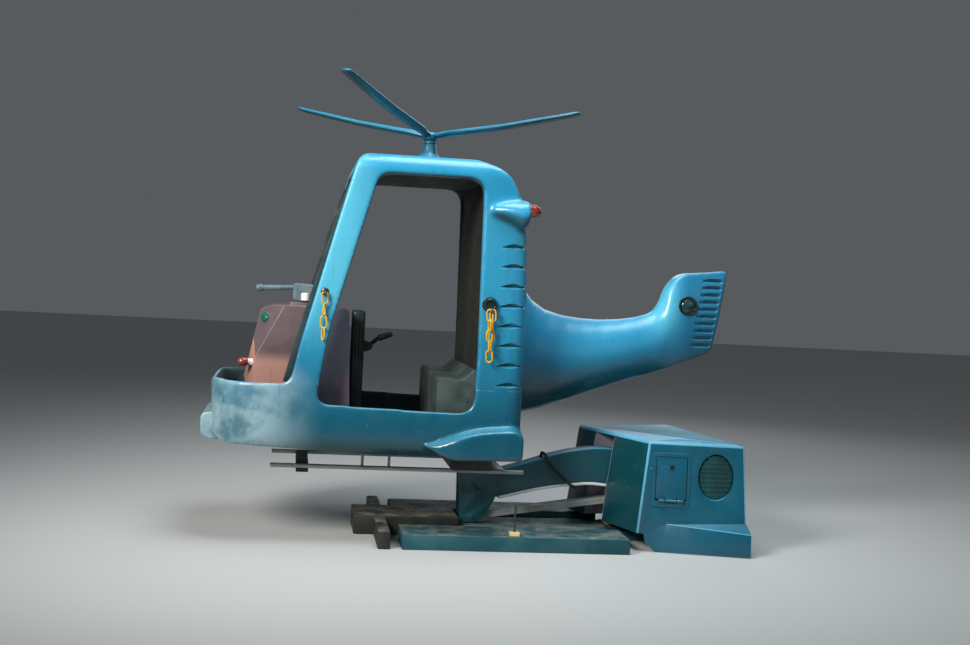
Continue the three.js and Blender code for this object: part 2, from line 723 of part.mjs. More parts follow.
// Rear cross member with a cheek on each side of the arm's round end, and both pins.
function armHead() {
  const plateBottom = RAIL.bottomZ - 2;
  const cheek = (y0, y1) => across(outline([
    [-1232, plateBottom + 1], [-1222, 92, 24], [-1150, 66, 24], [-1084, 92, 24], [-1002, 230, 40],
    [-1002, plateBottom + 1],
  ]), y0, y1, 4);
  const upperPin = discAcross(HEAD_PIVOT.x, HEAD_PIVOT.z, PIN_RADIUS, -CHEEK.outer - 8, CHEEK.outer + 8);
  const lowerPin = discAcross(LINK_HEAD.x, LINK_HEAD.z, LINK_PIN_RADIUS, -CHEEK.outer - 8, CHEEK.outer + 8);
  return toGeometry(joined(
    carrierCross(-1240, -994, plateBottom),
    cheek(-CHEEK.outer, -CHEEK.inner), cheek(CHEEK.inner, CHEEK.outer), upperPin, lowerPin,
  ));
}

addPair("support_rail", supportRail(), "pale");
add("mounting_pad", mountingPad(), "dark");
add("carrier_cross", carrierCross(-2200, -2130, RAIL.bottomZ - 30), "steel");
add("arm_head", armHead(), "steel");

// Lifting arm and link

function armForm(grow = 0, rise = 0) {
  return toSolid(across(outline([
    [-1204, 214, 60], [-1180, 330, 70], [-1076, 362, 60], [-839, 430, 120], [-629, 504, 140],
    [-354, 550, 140], [-120, 500, 90], [-62, 380, 70], [-150, 306, 60], [-435, 327, 120],
    [-710, 294, 120], [-1041, 212, 60], [-1120, 150, 50],
  ]), -ARM_HALF - grow, ARM_HALF + grow).translate(0, 0, rise));
}

function upperArm() {
  const bore = ({ x, z }) => toSolid(discAcross(x, z, PIN_RADIUS + PIN_GAP, -200, 200));
  return toGeometry(armForm().subtract(bore(ARM_PIVOT)).subtract(bore(HEAD_PIVOT)));
}

function lowerLink() {
  const radius = 27;
  const half = 42;
  const stretch = across(outline([
    [LINK_HEAD.x, LINK_HEAD.z - 20], [LINK_PIVOT.x, LINK_PIVOT.z - 20], [LINK_PIVOT.x, LINK_PIVOT.z + 18],
    [LINK_HEAD.x, LINK_HEAD.z + 18],
  ]), -half, half);
  const solid = joined(
    stretch,
    discAcross(LINK_HEAD.x, LINK_HEAD.z, radius, -half, half),
    discAcross(LINK_PIVOT.x, LINK_PIVOT.z, radius, -half, half),
  );
  const headBore = toSolid(discAcross(LINK_HEAD.x, LINK_HEAD.z, LINK_PIN_RADIUS + OPEN_PIN_GAP, -200, 200));
  const baseBore = toSolid(discAcross(LINK_PIVOT.x, LINK_PIVOT.z, LINK_PIN_RADIUS + PIN_GAP, -200, 200));
  return toGeometry(solid.subtract(headBore).subtract(baseBore));
}

// Hose that leaves the arm's top, drops down its near side and turns in under it.
function armHose() {
  const run = tube([
    [-735, -20, 466], [-733, -44, 496], [-716, -70, 486], [-690, -72, 440], [-620, -72, 370],
    [-560, -72, 316], [-528, -66, 296], [-515, -40, 298], [-512, -20, 320],
  ], 9, 30, 8);
  const arm = armForm(SEAT_GAP, SEAT_GAP).add(armForm(SEAT_GAP, -SEAT_GAP));
  return toGeometry(toSolid(run).subtract(arm));
}

add("upper_arm", upperArm(), "blue");
add("lower_link", lowerLink(), "pale");
add("arm_hose", armHose(), "rubber");

// Pivot bracket on the base

function pivotBracket() {
  const cheek = (y0, y1) => across(outline([
    [-300, BASE.spineTop + SEAT_GAP], [-238, 250, 40], [-214, 440, 50], [-90, 460, 50], [-40, 250, 40],
    [20, BASE.spineTop + SEAT_GAP],
  ]), y0, y1, 4);
  const foot = box(-320, 40, -130, 130, BASE.spineTop + SEAT_GAP, BASE.spineTop + 12);
  const reach = CHEEK.outer + 8;
  const armPin = discAcross(ARM_PIVOT.x, ARM_PIVOT.z, PIN_RADIUS, -reach, reach);
  const linkPin = discAcross(LINK_PIVOT.x, LINK_PIVOT.z, LINK_PIN_RADIUS, -reach, reach);
  return toGeometry(joined(
    cheek(-CHEEK.outer, -CHEEK.inner), cheek(CHEEK.inner, CHEEK.outer), foot, armPin, linkPin,
  ));
}

add("pivot_bracket", pivotBracket(), "steel");

// Machine cover

function frustum(foot, top, z0, z1) {
  const points = [
    ...foot.map(([x, y]) => new THREE.Vector3(x, y, z0)),
    ...top.map(([x, y]) => new THREE.Vector3(x, y, z1)),
  ];
  return new ConvexGeometry(points);
}

// A corner has to move this much further than the walls beside it.
const CORNER_SHARE = 1.45;

// Corners moved towards the middle of the plan, for walls that lie further in by the amount given.
function shrunkCorners(corners, by) {
  const middle = corners.reduce(([sx, sy], [x, y]) => [sx + x / 4, sy + y / 4], [0, 0]);
  return corners.map(([x, y]) => {
    const dx = x - middle[0];
    const dy = y - middle[1];
    const step = (by * CORNER_SHARE) / Math.hypot(dx, dy);
    return [x - dx * step, y - dy * step];
  });
}

// A frame on the cover's front face: u along it, v up it and w out of it, from the face's foot corner.
function frontFaceFrame() {
  const foot = new THREE.Vector3(...COVER.foot[0], 0);
  const u = new THREE.Vector3(...COVER.foot[1], 0).sub(foot).normalize();
  const rise = new THREE.Vector3(...COVER.top[0], COVER.height).sub(foot);
  const w = new THREE.Vector3().crossVectors(u, rise).normalize();
  const v = new THREE.Vector3().crossVectors(w, u).normalize();
  return new THREE.Matrix4().makeBasis(u, v, w).setPosition(foot);
}

const FRONT = frontFaceFrame();

function onFront(u0, u1, v0, v1, w0, w1) {
  return box(u0, u1, v0, v1, w0, w1).applyMatrix4(FRONT);
}

function ventOutline(grow) {
  const oval = new THREE.Shape();
  const v = VENT;
  oval.absellipse(v.along, v.up, v.halfWidth + grow, v.halfHeight + grow, 0, 2 * Math.PI, false, 0);
  return oval;
}

function ventDisc(grow, w0, w1) {
  const settings = { depth: w1 - w0, bevelEnabled: false, curveSegments: 14 };
  return new THREE.ExtrudeGeometry(ventOutline(grow), settings).translate(0, 0, w0).applyMatrix4(FRONT);
}

function machineCover() {
  const { foot, top, wall, height } = COVER;
  const outer = toSolid(frustum(foot, top, 0, height));
  const inner = toSolid(frustum(shrunkCorners(foot, wall), shrunkCorners(top, wall), -1, height - wall));
  const slot = toSolid(box(-700, -180, SLOT.nearY, SLOT.farY, -10, SLOT.topZ));
  const underLeft = toSolid(across(outline([
    [-700, -30], [-96, -30], [-190, 60, 60], [-190, 104], [-700, 104],
  ]), -700, 700));
  const gateHalf = BASE.spineHalf + SEAT_GAP;
  const spineGate = toSolid(box(100, 700, -gateHalf, gateHalf, -10, BASE.spineTop + SEAT_GAP));
  const h = HATCH;
  const hatchHole = toSolid(onFront(h.along, h.along + h.width, h.up, h.up + h.height, -60, 60));
  const ventSeat = toSolid(ventDisc(SEAT_GAP, -5, 60));
  return outer.subtract(inner).add(skirtLedge(inner)).subtract(slot).subtract(underLeft)
    .subtract(spineGate).subtract(hatchHole).subtract(ventSeat);
}

// The lower front swells out towards the right, under a sloping lip that starts at a point.
function skirtLedge(inner) {
  const length = Math.hypot(COVER.foot[1][0] - COVER.foot[0][0], COVER.foot[1][1] - COVER.foot[0][1]);
  const points = [
    [168, 170, -2], [length - 6, 192, -2], [180, 166, 2], [length + 14, 128, 48],
    [150, 0.5, -2], [165, 0.5, 6], [length + 14, 0.5, 56], [length - 6, 0.5, -2],
  ].map((p) => new THREE.Vector3(...p));
  const form = new ConvexGeometry(points).applyMatrix4(FRONT);
  const ground = toSolid(box(-900, 900, -900, 900, -200, 0));
  return toSolid(form).subtract(inner).subtract(ground);
}

// A disc on the hatch's hinge line, from u0 to u1 along it.
function hingeDisc(radius, u0, u1, sides = 20) {
  const { hingeUp, hingeOut } = HATCH;
  return bar([u0, hingeUp, hingeOut], [u1, hingeUp, hingeOut], radius, radius, sides).applyMatrix4(FRONT);
}

// The flap opens outwards and down about a hinge along its lower edge.
function hatchFlap() {
  const h = HATCH;
  const middle = h.along + h.width / 2;
  const lowEdge = h.up + h.gap + 7;
  const highEdge = h.up + h.height - h.gap - 1;
  const plate = onFront(h.along + h.gap, h.along + h.width - h.gap, lowEdge, highEdge, -h.thick, 0);
  const leaf = onFront(middle - 30, middle + 30, h.hingeUp, h.up + 36, -1, 4);
  const knuckle = hingeDisc(9, middle - 30, middle + 30);
  const bore = toSolid(hingeDisc(4 + PIN_GAP, middle - 40, middle + 40));
  return toGeometry(joined(plate, leaf, knuckle).subtract(bore));
}

// Fixed half of the hinge: a leaf on the cover, two knuckles and the pin.
function hatchHinge() {
  const h = HATCH;
  const first = h.along + 20;
  const last = h.along + h.width - 20;
  const leaf = onFront(first, last, h.up - 34, h.up - 10, SEAT_GAP, 4);
  const web = (u0, u1) => onFront(u0, u1, h.up - 14, h.hingeUp, 2, h.hingeOut);
  return toGeometry(joined(
    leaf, web(first, first + 34), web(last - 34, last),
    hingeDisc(9, first, first + 34), hingeDisc(9, last - 34, last), hingeDisc(4, first, last),
  ));
}

function hatchLock() {
  const u = HATCH.along + HATCH.width / 2;
  const v = HATCH.up + HATCH.height - 60;
  return bar([u, v, SEAT_GAP], [u, v, 9], 14, 12, 16).applyMatrix4(FRONT);
}

add("machine_cover", toGeometry(machineCover()), "blue");
add("cover_vent", ventDisc(0, -4.7, 2), "dark");
add("hatch_flap", hatchFlap(), "blue");
add("hatch_hinge", hatchHinge(), "steel");
add("hatch_lock", hatchLock(), "steel");

// Base

function baseSpine() {
  return box(BASE.spineFrontX, BASE.spineRearX, -BASE.spineHalf, BASE.spineHalf, 0, BASE.spineTop);
}

// The beam that the lowered car rests over, with a foot out to each side.
function restBeam() {
  const b = BASE;
  const beam = box(b.restFrontX, b.spineFrontX - SEAT_GAP, -b.spineHalf, b.spineHalf, 0, b.restTop);
  const foot = box(-1735, -1665, -b.sideOuter, b.sideOuter, 0, 100);
  return toGeometry(joined(beam, foot));
}

// Wide platform beam beside the spine, tied to it by two short plates.
function sidePlatform() {
  const beam = box(BASE.sideFrontX, BASE.sideRearX, -BASE.sideOuter, -BASE.sideInner, 0, BASE.sideTop);
  const tie = (x) => box(x, x + 120, -BASE.sideInner - 10, -BASE.spineHalf - SEAT_GAP, 10, BASE.tieTop);
  return toGeometry(joined(beam, tie(-1150), tie(-560)));
}

// Short post on the near platform, with a block at its foot.
function stopPost() {
  const foot = box(-995, -938, -590, -540, BASE.sideTop + SEAT_GAP, BASE.sideTop + 24);
  const rod = bar([-968, -565, BASE.sideTop + 20], [-962, -565, 262], 6, 6, 12);
  return toGeometry(joined(foot, rod));
}

add("base_spine", baseSpine(), "steel");
add("rest_beam", restBeam(), "dark");
addPair("side_platform", sidePlatform(), "steel");
add("stop_post", stopPost(), "pale");

export default ride;
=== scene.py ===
# The looks of the fairground helicopter ride, made over its solid model.
# Nose towards -X, left side -Y, +Z up. The sizes and places that functions are given are in millimetres.
# In metres: camera, lamps, masks of the finishes, tests on points, link sizes, TUB_TOP and the _ROUND values.
import json
import math

import bmesh
import bpy
from mathutils import Matrix, Vector

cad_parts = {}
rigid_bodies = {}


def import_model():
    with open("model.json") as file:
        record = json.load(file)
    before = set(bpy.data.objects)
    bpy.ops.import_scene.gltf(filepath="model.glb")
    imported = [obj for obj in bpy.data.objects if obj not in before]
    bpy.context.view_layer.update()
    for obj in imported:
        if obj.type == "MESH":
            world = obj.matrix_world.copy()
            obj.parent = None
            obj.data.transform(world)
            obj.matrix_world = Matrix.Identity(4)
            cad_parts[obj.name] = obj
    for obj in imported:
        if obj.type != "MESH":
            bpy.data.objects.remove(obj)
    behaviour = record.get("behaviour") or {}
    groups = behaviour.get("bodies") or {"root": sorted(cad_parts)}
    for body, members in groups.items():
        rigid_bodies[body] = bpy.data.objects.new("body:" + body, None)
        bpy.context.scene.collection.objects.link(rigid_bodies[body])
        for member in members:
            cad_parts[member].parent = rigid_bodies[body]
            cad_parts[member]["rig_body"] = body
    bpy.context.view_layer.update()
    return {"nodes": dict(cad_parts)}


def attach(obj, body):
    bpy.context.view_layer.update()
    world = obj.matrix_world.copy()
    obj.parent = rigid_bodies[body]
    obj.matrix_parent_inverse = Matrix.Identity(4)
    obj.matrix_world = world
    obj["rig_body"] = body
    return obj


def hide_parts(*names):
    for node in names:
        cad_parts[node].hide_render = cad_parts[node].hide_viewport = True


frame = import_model()

SAME_POINT = 0.00002
PAINT = {}


def mm(x, y, z):
    return Vector((x, y, z)) * 0.001


# Selecting, naming and settling
def let_go():
    """Leaves edit mode and lets go of everything that is selected."""
    if bpy.context.mode != "OBJECT":
        bpy.ops.object.mode_set(mode="OBJECT")
    bpy.ops.object.select_all(action="DESELECT")


def take(piece):
    let_go()
    piece.select_set(True)
    bpy.context.view_layer.objects.active = piece
    return piece


def named(name):
    piece = bpy.context.active_object
    piece.name = piece.data.name = name
    return piece


def settle(piece):
    """Puts the piece's place, turn and size into its mesh."""
    take(piece)
    bpy.ops.object.transform_apply(location=True, rotation=True, scale=True)
    return piece


def placed(piece, matrix):
    piece.matrix_world = matrix
    return settle(piece)


def apply(piece, kind, **values):
    """Gives the piece a modifier and puts its result into the mesh."""
    take(piece)
    modifier = piece.modifiers.new(kind.lower(), kind)
    for key, value in values.items():
        setattr(modifier, key, value)
    bpy.ops.object.modifier_apply(modifier=modifier.name)
    return piece


# Working on points, edges and faces in edit mode
def edit(piece, action="DESELECT"):
    take(piece)
    bpy.ops.object.mode_set(mode="EDIT")
    bpy.ops.mesh.select_mode(type="VERT")
    bpy.ops.mesh.select_all(action=action)


def pick(piece, kind, test):
    """Selects the points, edges or faces that pass the test."""
    bpy.ops.mesh.select_mode(type=kind)
    bpy.ops.mesh.select_all(action="DESELECT")
    body = bmesh.from_edit_mesh(piece.data)
    for item in {"VERT": body.verts, "EDGE": body.edges, "FACE": body.faces}[kind]:
        item.select = test(item)
    if kind == "VERT":
        body.select_flush(True)
    bmesh.update_edit_mesh(piece.data)


def shift_points(piece, test, shift):
    """Moves the points whose place passes the test."""
    edit(piece)
    pick(piece, "VERT", lambda point: test(point.co))
    bpy.ops.transform.translate(value=shift)
    let_go()


def merge_points(distance=SAME_POINT):
    bpy.ops.mesh.select_all(action="SELECT")
    bpy.ops.mesh.remove_doubles(threshold=distance)


def turn_outwards():
    bpy.ops.mesh.select_all(action="SELECT")
    bpy.ops.mesh.normals_make_consistent(inside=False)


def outwards(piece):
    edit(piece)
    merge_points()
    turn_outwards()
    let_go()
    return piece


# Rounding, cutting, joining and copying
def soften(piece, width, steps=3, angle=35, slot=-1):
    """Rounds every edge that is sharper than the angle. The slot is the finish of the rounding."""
    return apply(piece, "BEVEL", width=width * 0.001, segments=steps, limit_method="ANGLE", material=slot,
                 angle_limit=math.radians(angle), use_clamp_overlap=True, miter_outer="MITER_ARC")


def carve(piece, tool, how="DIFFERENCE"):
    apply(piece, "BOOLEAN", operation=how, object=tool, solver="MANIFOLD")
    bpy.data.objects.remove(tool)
    return piece


def keep_common(piece, tool):
    return carve(piece, tool, "INTERSECT")


def weld_on(piece, tool):
    return carve(piece, tool, "UNION")


def join(name, *parts):
    let_go()
    for part in parts:
        part.select_set(True)
    bpy.context.view_layer.objects.active = parts[0]
    if len(parts) > 1:
        bpy.ops.object.join()
    return named(name)


def copied(piece, name):
    """A copy with its own mesh."""
    take(piece)
    bpy.ops.object.duplicate(linked=False)
    return named(name)


def mirrored(piece, name):
    twin = copied(piece, name)
    twin.scale = (1, -1, 1)
    settle(twin)
    edit(twin)
    turn_outwards()
    let_go()
    return twin


def both_sides(near, name):
    """A piece and its mirror image as one piece."""
    return join(name, near, mirrored(near, name + "_far"))


def coats(piece, *finishes):
    piece.data.materials.clear()
    for finish in finishes:
        piece.data.materials.append(PAINT[finish])
    return piece


def smooth(piece, angle=40):
    take(piece)
    bpy.ops.object.shade_smooth_by_angle(angle=math.radians(angle))
    let_go()
    return piece


def dress(piece, body, finish, slot, *nodes, angle=40):
    """Gives the piece its shading and finish and its body, and hides the solids it stands for; the slot is
    not used.
    """
    if angle:
        smooth(piece, angle)
    slots = piece.data.materials
    if finish and slots:
        slots[0] = PAINT[finish]  # a cut leaves an empty slot behind
    elif finish:
        slots.append(PAINT[finish])
    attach(piece, body)
    if nodes:
        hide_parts(*nodes)


# Forms that the pieces start from
PLANES = {
    "side": lambda u, v, w: mm(u, w, v),
    "plan": lambda u, v, w: mm(u, v, w),
    "front": lambda u, v, w: mm(w, u, v),
}
TURNS = {"X": (0, math.pi / 2, 0), "Y": (math.pi / 2, 0, 0), "Z": (0, 0, 0)}


def rounded(corners, steps=6):
    """The points of a closed outline whose corners (u, v, radius) are rounded."""
    points = []
    for i, corner in enumerate(corners):
        here = Vector(corner[:2])
        radius = corner[2] if len(corner) > 2 else 0
        if not radius:
            points.append(here)
            continue
        before = Vector(corners[i - 1][:2]) - here
        after = Vector(corners[(i + 1) % len(corners)][:2]) - here
        cut = min(radius, 0.48 * before.length, 0.48 * after.length)
        start = here + before.normalized() * cut
        end = here + after.normalized() * cut
        for k in range(steps + 1):
            t = k / steps
            points.append(start * (1 - t) ** 2 + here * 2 * t * (1 - t) + end * t * t)
    return points


def drawn_line(name, points):
    """A wire drawn from point to point by extruding one vertex. The piece stays in edit mode."""
    let_go()
    bpy.ops.mesh.primitive_plane_add(size=0.01, location=points[0])
    piece = named(name)
    edit(piece, "SELECT")
    bpy.ops.mesh.merge(type="CENTER")
    for here, there in zip(points, points[1:]):
        bpy.ops.mesh.extrude_region_move(TRANSFORM_OT_translate={"value": there - here})
    return piece


def slab(name, corners, plane, low, high, steps=6):
    """A plate with a rounded outline, drawn out from low to high across its plane."""
    place = PLANES[plane]
    points = [place(p.x, p.y, low) for p in rounded(corners, steps)]
    piece = drawn_line(name, points + points[:1])
    merge_points(SAME_POINT / 2)
    bpy.ops.mesh.edge_face_add()
    bpy.ops.mesh.extrude_region_move(
        TRANSFORM_OT_translate={"value": place(0, 0, high) - place(0, 0, low)})
    turn_outwards()
    return settle(piece)


def block(name, x, y, z, edge=0, steps=3):
    """A block between the two values given on each axis, with rounded edges."""
    let_go()
    low, high = mm(x[0], y[0], z[0]), mm(x[1], y[1], z[1])
    bpy.ops.mesh.primitive_cube_add(size=1, location=(low + high) / 2)
    piece = named(name)
    piece.scale = high - low
    settle(piece)
    if edge:
        edit(piece, "SELECT")
        bpy.ops.mesh.bevel(offset=edge * 0.001, segments=steps, affect="EDGES", clamp_overlap=True)
        let_go()
    return piece


def turned(name, profile, axis="Z", centre=(0, 0, 0), steps=40, scale=(1, 1, 1)):
    """A turned piece: its profile of (radius, height) is spun about the axis through the centre."""
    piece = drawn_line(name, [mm(r, 0, h) for r, h in profile])
    bpy.ops.mesh.select_all(action="SELECT")
    bpy.ops.mesh.spin(steps=steps, angle=math.tau, center=(0, 0, 0), axis=(0, 0, 1))
    merge_points()
    turn_outwards()
    settle(piece)
    piece.rotation_euler = TURNS[axis]
    piece.location = mm(*centre)
    piece.scale = scale
    return settle(piece)


def lofted(name, stations, sides):
    """A closed form along X through stations (x, z, half width, half height)."""
    x, z, wide, tall = stations[0]
    let_go()
    bpy.ops.mesh.primitive_circle_add(vertices=sides, radius=1, fill_type="NGON", rotation=TURNS["X"])
    piece = settle(named(name))
    piece.scale = (1, wide * 0.001, tall * 0.001)
    piece.location = mm(x, 0, z)
    settle(piece)
    edit(piece, "SELECT")
    for (x0, z0, w0, h0), (x1, z1, w1, h1) in zip(stations, stations[1:]):
        bpy.ops.mesh.extrude_region_move(TRANSFORM_OT_translate={"value": mm(x1 - x0, 0, z1 - z0)})
        bpy.ops.transform.resize(value=(1, w1 / w0, h1 / h0), center_override=mm(x1, 0, z1))
    turn_outwards()
    let_go()
    return piece


def tapered_block(name, foot, top, low, high):
    """A block whose foot and top corners are moved to the places given."""
    let_go()
    bpy.ops.mesh.primitive_cube_add(size=2, location=(0, 0, 0))
    piece = named(name)
    for level, places, z in ((-1, foot, low), (1, top, high)):
        for (sx, sy), (x, y) in zip([(-1, -1), (1, -1), (1, 1), (-1, 1)], places):
            spot = Vector((sx, sy, level))
            shift_points(piece, lambda p: (p - spot).length < 0.01, mm(x, y, z) - spot)
    return piece


def moulded(piece, grain, rounds):
    """Makes the piece one skin of even grain and eases every edge and joint in it."""
    apply(piece, "REMESH", mode="VOXEL", voxel_size=grain * 0.001)
    return apply(piece, "SMOOTH", factor=0.5, iterations=rounds)


def part_copy(node, name, edge, steps, angle, *worn):
    """A copy of a solid part, merged and with its edges rounded, in two finishes where they are worn."""
    let_go()
    piece = bpy.data.objects.new(name, frame["nodes"][node].data.copy())
    piece.data.materials.clear()
    bpy.context.scene.collection.objects.link(piece)
    edit(piece)
    merge_points()
    bpy.ops.mesh.dissolve_limited(angle_limit=math.radians(0.6))
    let_go()
    coats(piece, *worn)
    return soften(piece, edge, steps, angle, 1 if worn else -1)


def round_rod(name, points, radius):
    """A round tube that follows the points, as a live curve."""
    shape = bpy.data.curves.new(name, "CURVE")
    shape.dimensions = "3D"
    line = shape.splines.new("POLY")
    line.points.add(len(points) - 1)
    for spot, point in zip(line.points, points):
        spot.co = (*point, 1)
    line.use_smooth = True
    shape.bevel_depth = radius * 0.001
    shape.bevel_resolution = 3
    shape.use_fill_caps = True
    piece = bpy.data.objects.new(name, shape)
    bpy.context.scene.collection.objects.link(piece)
    return piece


def eased(points, steps):
    """Points on one smooth curve through the points given."""
    knots = [mm(*p) for p in points]
    knots = [knots[0] * 2 - knots[1]] + knots + [knots[-1] * 2 - knots[-2]]
    line = []
    for a, b, c, d in zip(knots, knots[1:], knots[2:], knots[3:]):
        for k in range(steps):
            t = k / steps
            line.append(0.5 * (2 * b + (c - a) * t + (2 * a - 5 * b + 4 * c - d) * t * t
                               + (3 * b - a - 3 * c + d) * t ** 3))
    return line + [knots[-2]]


# Camera, light and floor
EYE = (-2.270, -8.020, 1.520)
TURN, DIP, ROLL = (math.radians(angle) for angle in (8.2, 1.82, 3.0))
LENS, FILM = 50.1, 36
LAMPS = (
    # name, place, aim, size, power, tint, spread in degrees
    ("key", (-5.4, -4.6, 4.2), (-1.8, -0.4, 1.6), 2.4, 95, (1.0, 0.96, 0.9), 70),
    ("overhead", (-0.8, -0.9, 5.4), (-0.9, 0, 0.8), 3.4, 100, (0.9, 0.97, 1.0), 120),
    ("fill", (3.8, -6.0, 3.0), (-0.6, -0.3, 0.9), 4.0, 14, (0.86, 0.95, 1.0), 180),
    ("back", (1.5, 6.0, 4.5), (-1.2, 0, 1.2), 4.0, 55, (0.9, 0.96, 1.0), 180),
)
SKY, SKY_POWER = (0.74, 0.80, 0.84, 1), 0.13
FLOOR_TINT, FLOOR_ROUGH = (0.52, 0.53, 0.53, 1), 0.85


def set_camera():
    ahead = Vector((math.sin(TURN) * math.cos(DIP), math.cos(TURN) * math.cos(DIP), -math.sin(DIP)))
    level = Vector((math.cos(TURN), -math.sin(TURN), 0))
    down = ahead.cross(level)
    right = level * math.cos(ROLL) - down * math.sin(ROLL)
    up = -(level * math.sin(ROLL)) - down * math.cos(ROLL)
    lens = bpy.data.cameras.new("camera")
    lens.lens, lens.sensor_width = LENS, FILM
    lens.clip_start, lens.clip_end = 0.05, 200
    camera = bpy.data.objects.new("camera", lens)
    bpy.context.scene.collection.objects.link(camera)
    grid = Matrix((right, up, -ahead)).transposed().to_4x4()
    grid.translation = EYE
    camera.matrix_world = grid
    bpy.context.scene.camera = camera


def light_studio():
    for name, place, aim, size, power, tint, spread in LAMPS:
        lamp = bpy.data.lights.new(name, "AREA")
        lamp.shape, lamp.size, lamp.energy, lamp.color = "DISK", size, power, tint
        lamp.spread = math.radians(spread)
        holder = bpy.data.objects.new(name, lamp)
        bpy.context.scene.collection.objects.link(holder)
        holder.location = place
        holder.rotation_euler = (Vector(aim) - Vector(place)).to_track_quat("-Z", "Y").to_euler()
    scene = bpy.context.scene
    scene.world = bpy.data.worlds.new("studio")
    scene.world.use_nodes = True
    sky = scene.world.node_tree.nodes["Background"].inputs
    sky["Color"].default_value, sky["Strength"].default_value = SKY, SKY_POWER
    scene.view_settings.view_transform = "Standard"
    scene.view_settings.look = "None"


def lay_floor():
    let_go()
    bpy.ops.mesh.primitive_plane_add(size=60, location=(0, 0, 0))
    floor = named("floor")
    paint = bpy.data.materials.new("studio_floor")
    paint.use_nodes = True
    surface = paint.node_tree.nodes["Principled BSDF"].inputs
    surface["Base Color"].default_value, surface["Roughness"].default_value = FLOOR_TINT, FLOOR_ROUGH
    floor.data.materials.append(paint)


# Finishes
def colour(tint):
    def channel(c):
        c /= 255
        return c / 12.92 if c <= 0.04045 else ((c + 0.055) / 1.055) ** 2.4
    return (*map(channel, tint), 1)


class Finish:
    """A weathered finish built up in coats, each laid over the last by a mask."""

    def __init__(self, name, base, rough, metal=0.0, coat=0.0):
        self.material = bpy.data.materials.new(name)
        self.material.use_nodes = True
        self.tree = self.material.node_tree
        self.where = self.tree.nodes.new("ShaderNodeTexCoord").outputs
        self.coat, self.normal = colour(base), None
        self.surface({"Metallic": metal, "Coat Weight": coat, "Coat Roughness": 0.22,
                      "Roughness": self.between(self.clouds(9, 6, 0.62), 0.3, 0.72, *rough)})

    def fill(self, sockets, values):
        """Sets each socket to a value, or links it to another node's output."""
        for key, value in values.items():
            if isinstance(value, bpy.types.NodeSocket):
                self.tree.links.new(value, sockets[key])
            else:
                sockets[key].default_value = value

    def surface(self, values):
        self.fill(self.tree.nodes["Principled BSDF"].inputs, values)

    def node(self, kind, values, **settings):
        node = self.tree.nodes.new("ShaderNode" + kind)
        for key, value in settings.items():
            setattr(node, key, value)
        self.fill(node.inputs, values)
        return node.outputs

    def clouds(self, scale, detail, roughness, bend=0.0, stretch=(1, 1, 1)):
        """A cloudy pattern over the piece, drawn out along an axis by the stretch."""
        spread = self.node("Mapping", {"Vector": self.where["Object"], "Scale": stretch})
        return self.node("TexNoise", {"Vector": spread["Vector"], "Scale": scale, "Detail": detail,
                                      "Roughness": roughness, "Distortion": bend})["Fac"]

    def between(self, value, low, high, least=0.0, most=1.0):
        """Eases from least to most while the value runs from low to high."""
        return self.node("MapRange", {"Value": value, "From Min": low, "From Max": high, "To Min": least,
                                      "To Max": most}, interpolation_type="SMOOTHSTEP")["Result"]

    def times(self, first, second):
        return self.node("Math", {0: first, 1: second}, operation="MULTIPLY")["Value"]

    def along(self, field, axis):
        value = self.node("SeparateXYZ", {"Vector": self.where[field]})[axis[-1]]
        return self.times(value, -1.0) if axis[0] == "-" else value

    def facing(self, axis, *limits):
        """Where the surface faces along an axis of the piece."""
        return self.between(self.along("Normal", axis), *limits)

    def place(self, axis, *limits):
        """Where the surface lies along an axis of the piece."""
        return self.between(self.along("Object", axis), *limits)

    def lay(self, tint, mask):
        """Lays a coat of another colour where the mask is high."""
        self.coat = self.node("Mix", {0: mask, 6: self.coat, 7: colour(tint)}, data_type="RGBA")[2]

    def patches(self, tint, pattern, low, high, least=0.0, most=1.0, area=None):
        """Lays a coat where a cloudy pattern is high, inside the area where one is given."""
        mask = self.between(self.clouds(*pattern), low, high, least, most)
        self.lay(tint, mask if area is None else self.times(area, mask))

    def relief(self, pattern, depth):
        """Raises the surface by a cloudy pattern, up to the depth in millimetres."""
        values = {"Distance": depth * 0.001, "Strength": 1.0, "Height": self.clouds(*pattern)}
        if self.normal is not None:
            values["Normal"] = self.normal
        self.normal = self.node("Bump", values)["Normal"]

    def done(self):
        self.surface({"Base Color": self.coat, "Normal": self.normal})
        return self.material


